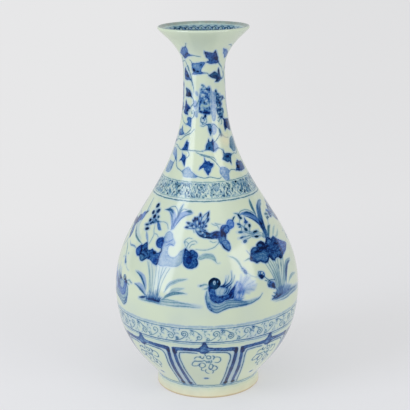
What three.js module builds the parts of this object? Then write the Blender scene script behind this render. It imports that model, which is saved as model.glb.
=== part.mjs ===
// A pear-shaped porcelain bottle vase with a trumpet mouth, in millimetres, +Z up.
// The origin is the middle of the foot, on the surface that the vase stands on.
// It is made as such a vase is: three sections thrown on the wheel and a separate foot ring,
// luted end to end with slip. Each joint is a level ring of slip, flush outside, with a bead inside.
import * as THREE from "three";

// Overall shape: the outer line of the wall
const HEIGHT = 300;
const MOUTH_RADIUS = 36.6;
const NECK_RADIUS = 16.9;
const NECK_LEVEL = 252.8;
const BELLY_RADIUS = 76.2;
const BELLY_LEVEL = 85.3;
const BASE_RADIUS = 42.5;

// How the outer line leaves and reaches those places: angles above the horizontal, lengths of the pull
const BASE_ANGLE = 54;
const BASE_PULL = 21;
const BELLY_PULL_BELOW = 43.5;
const BELLY_PULL_ABOVE = 61;
const NECK_PULL_BELOW = 82.5;
const NECK_PULL_ABOVE = 18.5;
const LIP_ANGLE = 42.5;
const LIP_PULL = 31;

// Wall thickness
const BASE_WALL = 6.2;
const BELLY_WALL = 4;
const NECK_WALL = 3.4;
const LIP_WALL = 2.6;
const FLOOR_THICKNESS = 4.2;
const FLOOR_PULL = 1.2;

// Foot ring
const FOOT_HEIGHT = 9.6;
const FOOT_FLARE = 0.4;
const FOOT_WIDTH = 6;
const FOOT_SPLAY = 1.2;
const FOOT_BEVEL = 0.8;

// Slip joints
const SLIP_THICKNESS = 0.8;
const SLIP_BEAD = 1.2;
const NECK_JOINT_LEVEL = 190;

// Fineness of the turned surfaces
const FACETS = 48;
const CURVE_STEPS = 7;
const ROUND_STEPS = 2;
const FLOOR_STEPS = 5;
// Points of the wall nearer than this to a joint are dropped, so that no sliver of a facet is left
const CLOSEST = 0.2;
// Halvings that place a joint's radius on the curve
const HALVINGS = 40;

const CLAY_COLOR = 0xe6ddcb;
const GLAZED_COLOR = 0xd6e3cf;
const SLIP_COLOR = 0xece4d4;

const point = (radius, level) => new THREE.Vector2(radius, level);
const degrees = (angle) => THREE.MathUtils.degToRad(angle);
const direction = (angle) => point(Math.cos(angle), Math.sin(angle));
const away = (start, heading, length) => start.clone().addScaledVector(heading, length);

// Points on a round from one angle to another about a centre, both ends included.
function round(centre, radius, from, to, steps) {
  const made = [];
  for (let i = 0; i <= steps; i++) {
    const angle = from + ((to - from) * i) / steps;
    made.push(away(centre, direction(angle), radius));
  }
  return made;
}

// The outer line, as three curves that share their tangents at the belly and at the neck.
function outerCurves() {
  const up = point(0, 1);
  const down = point(0, -1);
  const outwards = direction(degrees(BASE_ANGLE));
  const lipHeading = direction(degrees(LIP_ANGLE));
  const base = point(BASE_RADIUS, FOOT_HEIGHT + SLIP_THICKNESS);
  const belly = point(BELLY_RADIUS, BELLY_LEVEL);
  const neck = point(NECK_RADIUS, NECK_LEVEL);
  const lip = away(lipCentre(), direction(degrees(LIP_ANGLE - 90)), LIP_WALL / 2);
  const bowl = new THREE.CubicBezierCurve(
    base,
    away(base, outwards, BASE_PULL),
    away(belly, down, BELLY_PULL_BELOW),
    belly,
  );
  const shoulder = new THREE.CubicBezierCurve(
    belly,
    away(belly, up, BELLY_PULL_ABOVE),
    away(neck, down, NECK_PULL_BELOW),
    neck,
  );
  const trumpet = new THREE.CubicBezierCurve(
    neck,
    away(neck, up, NECK_PULL_ABOVE),
    away(lip, lipHeading, -LIP_PULL),
    lip,
  );
  return [bowl, shoulder, trumpet];
}

// The lip is a full round whose outermost and topmost points are the mouth's radius and the height.
function lipCentre() {
  return point(MOUTH_RADIUS - LIP_WALL / 2, HEIGHT - LIP_WALL / 2);
}

// A place on the wall, part of the way along one of the curves. At depth 0 it lies on the outer face and
// at depth 1 on the inner one, a wall's thickness in. The wall changes evenly along each curve.
function wallPlace(part, t, depth) {
  const heading = curves[part].getTangent(t);
  const wall = THREE.MathUtils.lerp(WALLS[part], WALLS[part + 1], t);
  return away(curves[part].getPoint(t), point(-heading.y, heading.x), depth * wall);
}

// One face of the wall as points, from bottom to top.
function wallLine(depth) {
  const made = [wallPlace(0, 0, depth)];
  curves.forEach((curve, part) => {
    for (let i = 1; i <= STEPS[part]; i++) made.push(wallPlace(part, i / STEPS[part], depth));
  });
  return made;
}

// The radius of a face of the wall at a level, by halving the stretch of curve that holds it.
function radiusAt(depth, level) {
  const part = curves.findIndex((curve, n) => wallPlace(n, 1, depth).y >= level);
  let below = 0;
  let above = 1;
  for (let i = 0; i < HALVINGS; i++) {
    const middle = (below + above) / 2;
    if (wallPlace(part, middle, depth).y < level) below = middle;
    else above = middle;
  }
  return wallPlace(part, above, depth).x;
}

// The stretch of a face between two levels, with its ends exactly on them.
function stretch(depth, low, high) {
  const between = wallLine(depth).filter((p) => p.y > low + CLOSEST && p.y < high - CLOSEST);
  return [point(radiusAt(depth, low), low), ...between, point(radiusAt(depth, high), high)];
}

const OUTER = 0;
const INNER = 1;
const WALLS = [BASE_WALL, BELLY_WALL, NECK_WALL, LIP_WALL];
const STEPS = [CURVE_STEPS, 2 * CURVE_STEPS, CURVE_STEPS];
const curves = outerCurves();
const baseCorner = wallPlace(0, 0, INNER);
const lipOutside = wallPlace(2, 1, OUTER);
const lipInside = wallPlace(2, 1, INNER);
const slipBelow = (level) => level - SLIP_THICKNESS / 2;
const slipAbove = (level) => level + SLIP_THICKNESS / 2;
const baseLevel = FOOT_HEIGHT + SLIP_THICKNESS;

// A ring that stands on a level: bevelled where it meets the table, a little wider there than at the top,
// and splayed inside.
function footRing() {
  const inside = BASE_RADIUS - FOOT_WIDTH;
  const insideBelow = inside + FOOT_SPLAY;
  const outsideBelow = BASE_RADIUS + FOOT_FLARE;
  return [
    point(insideBelow + FOOT_BEVEL, 0),
    point(outsideBelow - FOOT_BEVEL, 0),
    point(outsideBelow, FOOT_BEVEL),
    point(BASE_RADIUS, FOOT_HEIGHT),
    point(inside, FOOT_HEIGHT),
    point(insideBelow, FOOT_BEVEL),
  ];
}

// The slip under the lower body, with its bead in the corner inside the foot ring.
function footSlip() {
  const inside = BASE_RADIUS - FOOT_WIDTH;
  return [
    point(inside, FOOT_HEIGHT),
    point(BASE_RADIUS, FOOT_HEIGHT),
    point(BASE_RADIUS, baseLevel),
    point(inside - SLIP_BEAD, baseLevel),
  ];
}

// The bowl: a flat underside, the outer line up to the belly, and down inside to the middle of the floor.
function lowerBody() {
  const top = slipBelow(BELLY_LEVEL);
  const outside = stretch(OUTER, baseLevel, top);
  const inside = stretch(INNER, baseCorner.y, top).reverse();
  const middle = point(0, baseLevel + FLOOR_THICKNESS);
  const floor = new THREE.CubicBezierCurve(
    baseCorner,
    away(baseCorner, direction(degrees(BASE_ANGLE)), -FLOOR_PULL),
    point(baseCorner.x / 2, middle.y),
    middle,
  );
  return [point(0, baseLevel), ...outside, ...inside, ...floor.getPoints(FLOOR_STEPS).slice(1)];
}

// A level ring of slip between two sections: flush outside, with a rounded bead inside.
function wallSlip(level) {
  const low = slipBelow(level);
  const high = slipAbove(level);
  const insideLow = radiusAt(INNER, low);
  const insideHigh = radiusAt(INNER, high);
  return [
    point(radiusAt(OUTER, low), low),
    point(radiusAt(OUTER, high), high),
    point(insideHigh, high),
    point(insideHigh - SLIP_BEAD, high),
    point(insideLow - SLIP_BEAD, low),
    point(insideLow, low),
  ];
}

// The section from the belly to the neck joint.
function upperBody() {
  const low = slipAbove(BELLY_LEVEL);
  const high = slipBelow(NECK_JOINT_LEVEL);
  return [...stretch(OUTER, low, high), ...stretch(INNER, low, high).reverse()];
}

// The section from the neck joint to the lip, which is a full round.
function neckAndMouth() {
  const low = slipAbove(NECK_JOINT_LEVEL);
  const from = degrees(LIP_ANGLE - 90);
  const to = degrees(LIP_ANGLE + 90);
  const quarter = degrees(90);
  const outside = stretch(OUTER, low, lipOutside.y);
  const inside = stretch(INNER, low, lipInside.y);
  const lip = [
    ...round(lipCentre(), LIP_WALL / 2, from, 0, ROUND_STEPS).slice(1),
    ...round(lipCentre(), LIP_WALL / 2, 0, quarter, ROUND_STEPS).slice(1),
    ...round(lipCentre(), LIP_WALL / 2, quarter, to, ROUND_STEPS).slice(1, -1),
  ];
  return [...outside, ...lip, ...inside.reverse()];
}

// Turns an outline about the vase's axis. An outline that doesn't start on the axis closes on itself.
function turned(name, outline, material) {
  const closed = outline[0].x === 0 ? outline : [...outline, outline[0].clone()];
  const geometry = new THREE.LatheGeometry(closed, FACETS).rotateX(Math.PI / 2);
  const mesh = new THREE.Mesh(geometry, material);
  mesh.name = name;
  return mesh;
}

const glazed = () => new THREE.MeshStandardMaterial({ color: GLAZED_COLOR, roughness: 0.12, metalness: 0 });
const bareClay = () => new THREE.MeshStandardMaterial({ color: CLAY_COLOR, roughness: 0.75, metalness: 0 });
const driedSlip = () => new THREE.MeshStandardMaterial({ color: SLIP_COLOR, roughness: 0.6, metalness: 0 });

const vase = new THREE.Group();
vase.add(
  turned("foot_ring", footRing(), bareClay()),
  turned("foot_slip", footSlip(), driedSlip()),
  turned("lower_body", lowerBody(), glazed()),
  turned("belly_slip", wallSlip(BELLY_LEVEL), driedSlip()),
  turned("upper_body", upperBody(), glazed()),
  turned("neck_slip", wallSlip(NECK_JOINT_LEVEL), driedSlip()),
  turned("neck_and_mouth", neckAndMouth(), glazed()),
);

export default vase;
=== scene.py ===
import math

import bmesh
import bpy
import numpy as np
from mathutils import Matrix, Vector


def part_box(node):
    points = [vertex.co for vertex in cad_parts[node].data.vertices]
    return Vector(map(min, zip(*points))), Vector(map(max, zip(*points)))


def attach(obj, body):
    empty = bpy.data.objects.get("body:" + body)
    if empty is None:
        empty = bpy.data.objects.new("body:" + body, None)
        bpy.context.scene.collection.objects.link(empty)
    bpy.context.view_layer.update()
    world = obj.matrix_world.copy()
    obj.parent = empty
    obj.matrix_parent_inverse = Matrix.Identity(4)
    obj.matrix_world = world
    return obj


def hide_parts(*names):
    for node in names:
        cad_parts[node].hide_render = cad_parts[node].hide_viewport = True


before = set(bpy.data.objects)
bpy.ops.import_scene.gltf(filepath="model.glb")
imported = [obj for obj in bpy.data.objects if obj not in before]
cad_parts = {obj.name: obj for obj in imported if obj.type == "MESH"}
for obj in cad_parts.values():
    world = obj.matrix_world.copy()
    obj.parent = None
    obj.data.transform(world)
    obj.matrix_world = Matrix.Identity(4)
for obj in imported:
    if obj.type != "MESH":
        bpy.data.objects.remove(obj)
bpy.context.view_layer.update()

bl_info = {
    "name": "Blue and white bottle vase",
    "version": (1, 0, 0),
    "blender": (4, 5, 0),
    "location": "3D view > Sidebar > Vase",
    "description": "Glazes and paints a turned bottle vase, and stands it on a pale floor",
    "category": "Add Mesh",
}

MM = 0.001
PER_DEGREE = math.pi / 180

# A whole wave in radians, as the brushes count it, and an amount too small to matter
WAVE = 6.283
TINY = 1e-6


# The turned shape, read from the frame

def node_faces(node):
    """Corners of a CAD node's triangles (faces x 3 x 3, mm) and their unit normals, from the cross product
    of two edges."""
    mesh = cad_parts[node].data
    mesh.calc_loop_triangles()
    places = np.empty(len(mesh.vertices) * 3)
    mesh.vertices.foreach_get("co", places)
    corners = np.empty(len(mesh.loop_triangles) * 3, int)
    mesh.loop_triangles.foreach_get("vertices", corners)
    corners = places.reshape(-1, 3)[corners.reshape(-1, 3)] / MM
    normals = np.cross(corners[:, 1] - corners[:, 0], corners[:, 2] - corners[:, 0])
    return corners, normals / np.linalg.norm(normals, axis=1)[:, None]


def face_knots(nodes, side):
    """Radius and level (mm) of each ring of corners on the outer face (side 1) or the inner face (side -1)
    of the wall, lowest first: the corners of the triangles whose normal leans that way."""
    leaning = 0.05
    closest = 0.05
    found = []
    for node in nodes:
        corners, normals = node_faces(node)
        middles = corners.mean(axis=1)[:, :2]
        radial = (normals[:, :2] * middles).sum(axis=1) / np.linalg.norm(middles, axis=1)
        kept = corners[side * radial > leaning].reshape(-1, 3)
        found.append(np.c_[np.hypot(kept[:, 0], kept[:, 1]), kept[:, 2]])
    rings = np.vstack(found)
    rings = rings[np.argsort(rings[:, 1])]
    apart = np.r_[True, np.linalg.norm(np.diff(rings, axis=0), axis=1) > closest]
    return rings[apart]


def smooth_line(knots, count):
    """A natural cubic spline through the knots: cubics between them whose first and second derivatives
    agree at each knot, over the summed distance between knots, read at count even steps."""
    gaps = np.linalg.norm(np.diff(knots, axis=0), axis=1)
    along = np.r_[0, np.cumsum(gaps)]
    size = len(knots)
    system = np.eye(size)
    inner = np.arange(1, size - 1)
    system[inner, inner - 1] = gaps[:-1]
    system[inner, inner] = 2 * (gaps[:-1] + gaps[1:])
    system[inner, inner + 1] = gaps[1:]
    turning = np.zeros((size, 2))
    turning[1:-1] = 6 * np.diff(np.diff(knots, axis=0) / gaps[:, None], axis=0)
    bends = np.linalg.solve(system, turning)
    places = np.linspace(0, along[-1], count)
    n = np.clip(np.searchsorted(along, places) - 1, 0, size - 2)
    above = ((places - along[n]) / gaps[n])[:, None]
    below = 1 - above
    cubic = (below ** 3 - below) * bends[n] + (above ** 3 - above) * bends[n + 1]
    return below * knots[n] + above * knots[n + 1] + cubic * gaps[n][:, None] ** 2 / 6


def rounded_corner(first, second, reach):
    """Two lines that meet, with the last reach of one and the first reach of the other replaced by a
    quadratic curve whose middle control point is the corner."""
    corner = second[0]
    before = first[np.linalg.norm(first - corner, axis=1) > reach]
    after = second[np.linalg.norm(second - corner, axis=1) > reach]
    t = np.linspace(0, 1, 12)[1:-1, None]
    curve = (1 - t) ** 2 * before[-1] + 2 * t * (1 - t) * corner + t ** 2 * after[0]
    return np.vstack([before, curve, after])


def distance_along(line):
    """The summed distance between the points of a line."""
    return np.r_[0, np.cumsum(np.linalg.norm(np.diff(line, axis=0), axis=1))]


WALL_NODES = ("lower_body", "upper_body", "neck_and_mouth")
FINE = 4000
CORNER_REACH = 1.4

foot_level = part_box("foot_ring")[0].z / MM
slip_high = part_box("foot_slip")[1].z / MM
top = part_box("neck_and_mouth")[1].z / MM
belly_joint = (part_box("belly_slip")[0].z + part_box("belly_slip")[1].z) / 2 / MM
neck_joint = (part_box("neck_slip")[0].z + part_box("neck_slip")[1].z) / 2 / MM

outer_line = smooth_line(face_knots(WALL_NODES, 1), FINE)
inner_line = smooth_line(face_knots(WALL_NODES, -1), FINE)
foot_knots = face_knots(("foot_ring",), 1)
foot_inside = face_knots(("foot_ring",), -1)
foot_wall = np.linspace(foot_knots[1], [outer_line[0, 0], slip_high], 200)
body_line = rounded_corner(foot_wall, outer_line, CORNER_REACH)
body_line[:, 0] = np.minimum(body_line[:, 0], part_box("upper_body")[1].x / MM)

# The painted way: up the outside, over the lip and down into the mouth. A height of more than the
# top's counts on downwards inside the mouth.
MOUTH_DEPTH = 34
into_mouth = inner_line[::-1]
into_mouth = into_mouth[into_mouth[:, 1] > top - MOUTH_DEPTH]
WAY = np.vstack([body_line, into_mouth[1:]])
WAY_ALONG = distance_along(WAY)
WAY_HEIGHT = np.r_[np.maximum.accumulate(body_line[:, 1]), 2 * top - into_mouth[1:, 1]]


def along_at(height):
    """Distance along the painted way at a height."""
    return np.interp(height, WAY_HEIGHT, WAY_ALONG)


def way_at(along):
    """Radius and level on the painted way at distances along it."""
    return np.c_[np.interp(along, WAY_ALONG, WAY[:, 0]), np.interp(along, WAY_ALONG, WAY[:, 1])]


# Brushes. A skin is one section's painted face: the angles round it, the distances along the way and the
# radius at each, and on the grid that they span the amount of cobalt, how violet it is, and the bare clay.

class Skin:
    """One section's painted face, with no painting on it yet."""

    def __init__(self, along, columns):
        self.angles = np.arange(columns) * 360 / columns - 180
        self.along = along
        self.radii = way_at(along)[:, 0]
        self.ink, self.violet, self.bare = np.zeros((3, len(along), columns))


def unsteady(angles, along, seed):
    """A hand's slow wander: a sum of sines round and along the vase, whole waves round it."""
    turns = angles * PER_DEGREE
    wander = np.zeros(np.broadcast(angles, along).shape)
    for n, (waves, length, lag) in enumerate([(23, 31, 0.3), (61, 17, 1.9), (113, 9, 4.1), (187, 5.3, 2.7)]):
        wander = wander + np.sin(waves * turns + WAVE * along / length + lag + seed * (n + 2)) / (n + 1.5)
    return wander


def mottle(x, y):
    """Cobalt that heaped and thinned as it dried, about -1 to 1: products of sines across and along, each
    bent by the other, in blotches a few millimetres long and in finer specks."""
    total = np.zeros(np.broadcast(x, y).shape)
    for length, share in ((5.1, 0.55), (2.3, 0.5), (1.15, 0.4)):
        k = WAVE / length
        across = np.sin(k * x + 1.7 * np.sin(0.61 * k * y + length))
        total = total + share * across * np.sin(0.9 * k * y + 1.5 * np.sin(0.7 * k * x + 2 * length))
    return total


def hairs(x, y, lean):
    """The streaks that a brush's hairs leave, -1 to 1: sines across the way of the brush, which leans by
    degrees from level, each bent a little along it."""
    turn = lean * PER_DEGREE
    along = x * math.cos(turn) + y * math.sin(turn)
    across = y * math.cos(turn) - x * math.sin(turn)
    total = np.zeros(np.broadcast(x, y).shape)
    for n, (length, share) in enumerate([(3.1, 0.9), (1.47, 1.0)]):
        total = total + share * np.sin(WAVE * across / length + 1.6 * np.sin(along / (2.7 + n) + n))
    return total / 1.9


# Millimetres that the hand wanders, that a halo reaches and that an edge fades over, the room that a
# window leaves past a halo, and how violet a halo is
HAND_WANDER = 0.15
HALO_REACH = 1.6
SOFT_EDGE = 0.36
HALO_ROOM = HALO_REACH + 0.4
HALO_VIOLET = 0.75


class Window:
    """The part of a skin within a reach of some points, with the points laid flat beside it: x is the arc
    from the points' middle angle at each row's own radius, and y the distance along the way."""

    def __init__(self, skin, points, reach):
        self.skin = skin
        self.empty = True
        places = along_at(points[:, 1])
        low, high = np.searchsorted(skin.along, [places.min() - reach, places.max() + reach])
        if low == high:
            return
        radii = skin.radii[low:high]
        middle = (points[:, 0].min() + points[:, 0].max()) / 2
        half = (points[:, 0].max() - points[:, 0].min()) / 2 + reach / (radii.min() * PER_DEGREE)
        turned = (skin.angles - middle + 180) % 360 - 180
        order = np.argsort(turned)
        order = order[np.abs(turned[order]) <= half]
        if len(order) == 0:
            return
        self.empty = False
        self.place = np.ix_(np.arange(low, high), order)
        self.scale = radii[:, None] * PER_DEGREE
        along = skin.along[low:high, None]
        angles = skin.angles[order][None, :]
        self.x = turned[order][None, :] * self.scale + HAND_WANDER * unsteady(angles, along, 0.0)
        self.y = along + HAND_WANDER * unsteady(angles, along, 5.0)
        self.point_x = (points[:, 0] - middle)[:, None, None] * self.scale[None]
        self.point_y = places

    def lay(self, density, violet, faint, cover=0.0):
        """Adds a coat: what is left white shrinks by the coat's share. Cover first hides what lies under.
        The violet of a spot is that of its coats, each by its share, and a coat below faint is a violet
        halo."""
        under = self.skin.ink[self.place] * (1 - cover)
        hue = HALO_VIOLET + (violet - HALO_VIOLET) * ramp(density, faint, 1.6 * faint + TINY)
        here = self.skin.violet[self.place]
        self.skin.violet[self.place] = here + (hue - here) * density / (density + under + TINY)
        self.skin.ink[self.place] = 1 - (1 - under) * (1 - density)


def ramp(value, low, high):
    """0 below low, 1 above high, and a smooth rise 3t^2 - 2t^3 between."""
    t = np.clip((value - low) / (high - low), 0, 1)
    return t * t * (3 - 2 * t)


def through(points, closed=False, pieces=5):
    """A Catmull-Rom curve through points: between two of them a cubic whose slope at each is half the
    difference of its neighbours."""
    if closed:
        padded = np.vstack([points[-1:], points, points[:2]])
    else:
        padded = np.vstack([2 * points[0] - points[1], points, 2 * points[-1] - points[-2]])
    a, b, c, d = (padded[n:len(padded) - 3 + n, None] for n in range(4))
    t = (np.arange(pieces) / pieces)[None, :, None]
    curve = b + 0.5 * ((c - a) * t + (2 * a - 5 * b + 4 * c - d) * t ** 2 + (3 * b - a - 3 * c + d) * t ** 3)
    curve = curve.reshape(-1, 2)
    return curve if closed else np.vstack([curve, points[-1:]])


def width_along(t, shape):
    """A stroke's share of its full width at t: pointed at both ends, at its far end only, or even."""
    if shape == "leaf":
        return np.maximum(np.sin(np.pi * np.clip(t, 0, 1)) ** 0.75, 0.12)
    if shape == "tail":
        return np.maximum(1 - t ** 1.6, 0.15)
    return 1 - 0.25 * (2 * t - 1) ** 4


def coat(away, half, ink, inside, halo):
    """Density of a stroke at a distance from its middle line: ink within half its width, fading over the
    soft edge, the lighter inside in the middle, and a faint halo where the cobalt bled into the glaze."""
    body = ink * (1 - ramp(away, half - SOFT_EDGE, half + SOFT_EDGE * 0.6))
    if inside is not None:
        body = body * (inside / ink + (1 - inside / ink) * ramp(away, half * 0.2, half * 0.85))
    bleed = halo * ink * (1 - ramp(away, half, half + HALO_REACH))
    return np.maximum(body, bleed)


def stroke(skin, points, width, ink, inside=None, shape="even", violet=0.2, halo=0.16, blotch=0.12):
    """One brush stroke along a curve through points (angle, height). Each spot takes the densest coat that
    any piece of the curve gives it."""
    curve = through(points)
    window = Window(skin, curve, width / 2 + HALO_ROOM)
    if window.empty:
        return
    widths = width * width_along(np.linspace(0, 1, len(curve)), shape)
    cover = np.zeros(window.x.shape)
    for n in range(len(curve) - 1):
        ax, ay = window.point_x[n], window.point_y[n]
        bx, by = window.point_x[n + 1] - ax, window.point_y[n + 1] - ay
        reach = max(widths[n], widths[n + 1]) / 2 + HALO_ROOM
        rows = np.flatnonzero(np.abs(window.y[:, 0] - ay - by / 2) < abs(by) / 2 + reach + 0.5)
        if len(rows) == 0:
            continue
        rows = slice(rows[0], rows[-1] + 1)
        x = window.x[rows] - ax[rows]
        y = window.y[rows] - ay
        near = np.abs(x - bx[rows] / 2) < np.abs(bx[rows]) / 2 + reach
        columns = np.flatnonzero(near.any(axis=0))
        if len(columns) == 0:
            continue
        columns = slice(columns[0], columns[-1] + 1)
        x, y = x[:, columns], y[:, columns]
        step = bx[rows]
        share = np.clip((x * step + y * by) / (step ** 2 + by ** 2 + 1e-9), 0, 1)
        away = np.hypot(x - share * step, y - share * by)
        half = (widths[n] + share * (widths[n + 1] - widths[n])) / 2
        cover[rows, columns] = np.maximum(cover[rows, columns], coat(away, half, ink, inside, halo))
    cover = np.clip(cover * (1 + blotch * mottle(window.x, window.y)), 0, 1)
    window.lay(cover, violet, halo * ink)


def depth_inside(window, count):
    """Distance to a closed outline (the window's points), positive inside it: the nearest edge gives the
    distance, and an odd number of edges crossed to the right gives the inside."""
    nearest = np.full(window.x.shape, 1e9)
    crossed = np.zeros(window.x.shape, bool)
    for n in range(count):
        m = (n + 1) % count
        ax, ay = window.point_x[n], window.point_y[n]
        bx, by = window.point_x[m] - ax, window.point_y[m] - ay
        x, y = window.x - ax, window.y - ay
        share = np.clip((x * bx + y * by) / (bx ** 2 + by ** 2 + 1e-9), 0, 1)
        nearest = np.minimum(nearest, (x - share * bx) ** 2 + (y - share * by) ** 2)
        if abs(by) > 1e-9:
            crossed ^= ((y < 0) != (y < by)) & (x < y / by * bx)
    return np.where(crossed, 1, -1) * np.sqrt(nearest)


def wash(skin, outline, edge, inside, rim=1.6, violet=0.5, blotch=0.22, streaks=0.08, lean=0.0, over=False,
         halo=0.2, pieces=4):
    """A filled shape: dense along its outline, where the cobalt pools, and lighter and blotched further in.
    With over it hides what lies under it, as a near petal does."""
    curve = through(outline, closed=True, pieces=pieces)
    window = Window(skin, curve, HALO_ROOM)
    if window.empty:
        return
    depth = depth_inside(window, len(curve))
    density = edge + (inside - edge) * ramp(depth, 0.1 * rim, rim)
    uneven = blotch * mottle(window.x, window.y) + streaks * hairs(window.x, window.y, lean)
    density = np.clip(density * (1 + uneven), 0, 1)
    cover = ramp(depth, -SOFT_EDGE * 0.6, SOFT_EDGE)
    bleed = halo * edge * ramp(depth, -HALO_REACH, 0)
    window.lay(np.maximum(density * cover, bleed), violet, halo * edge, cover if over else 0.0)


def dab(skin, at, wide, tall, ink, inside=None, lean=0.0, violet=0.2, over=False):
    """A touch of the brush's tip: an ellipse wide by tall millimetres about a place, leaning by degrees.
    With over it hides what lies under it, so that a faint one leaves a pale spot."""
    window = Window(skin, at, max(wide, tall) / 2 + HALO_ROOM)
    if window.empty:
        return
    turn = lean * PER_DEGREE
    x = window.x - window.point_x[0]
    y = window.y - window.point_y[0]
    out = np.hypot((x * math.cos(turn) + y * math.sin(turn)) / wide,
            (y * math.cos(turn) - x * math.sin(turn)) / tall)
    across = min(wide, tall)
    cover = 1 - ramp(out * across, across / 2 - SOFT_EDGE, across / 2 + SOFT_EDGE) if over else 0.0
    window.lay(coat(out * across, across / 2, ink, inside, 0.0 if over else 0.2), violet, 0.2 * ink, cover)


def ring_line(skin, height, width, ink, halo=0.25, violet=0.2):
    """A line ruled round the vase on the wheel, a little uneven in width and density."""
    place = along_at(height)
    reach = width + HALO_REACH + 0.5
    low, high = np.searchsorted(skin.along, [place - reach, place + reach])
    if low == high:
        return
    window = Window.__new__(Window)
    window.skin, window.place = skin, np.ix_(np.arange(low, high), np.arange(len(skin.angles)))
    along = skin.along[low:high, None]
    angles = skin.angles[None, :]
    uneven = unsteady(angles, place, height)
    away = np.abs(along - place - 0.14 * unsteady(angles, 0 * along, height + 2))
    density = coat(away, width / 2 * (1 + 0.2 * uneven), ink, None, halo) * (1 - 0.18 * np.abs(uneven))
    window.lay(density, violet, halo * ink)


class Hand:
    """Paints on a skin with the motif's own angles turned by some degrees, mirrored when side is -1, and
    lifted by some millimetres. Points are written one after another: angle, height, angle, height."""

    def __init__(self, skin, turn=0.0, side=1, lift=0.0):
        self.skin, self.turn, self.side, self.lift = skin, turn, side, lift

    def place(self, points):
        points = np.reshape(points, (-1, 2)).astype(float)
        return np.c_[self.turn + self.side * points[:, 0], points[:, 1] + self.lift]

    def lines(self, width, ink, *lines, **rest):
        for points in lines:
            stroke(self.skin, self.place(points), width, ink, **rest)

    def leaves(self, width, ink, inside, *lines, **rest):
        """Blades pointed at both ends, darker along their edges."""
        for points in lines:
            stroke(self.skin, self.place(points), width, ink, inside, "leaf", **rest)

    def wash(self, outline, edge, inside, rim=1.6, **rest):
        wash(self.skin, self.place(outline), edge, inside, rim, **rest)

    def dabs(self, ink, *dabs, **rest):
        """Dabs of one density, each (angle, height, wide, tall) and maybe how it leans."""
        for x, level, wide, tall, *lean in dabs:
            dab(self.skin, self.place([x, level]), wide, tall, ink, lean=self.side * sum(lean), **rest)


# The lotus pond. Places are degrees round the vase from the front and millimetres above the table.

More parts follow.
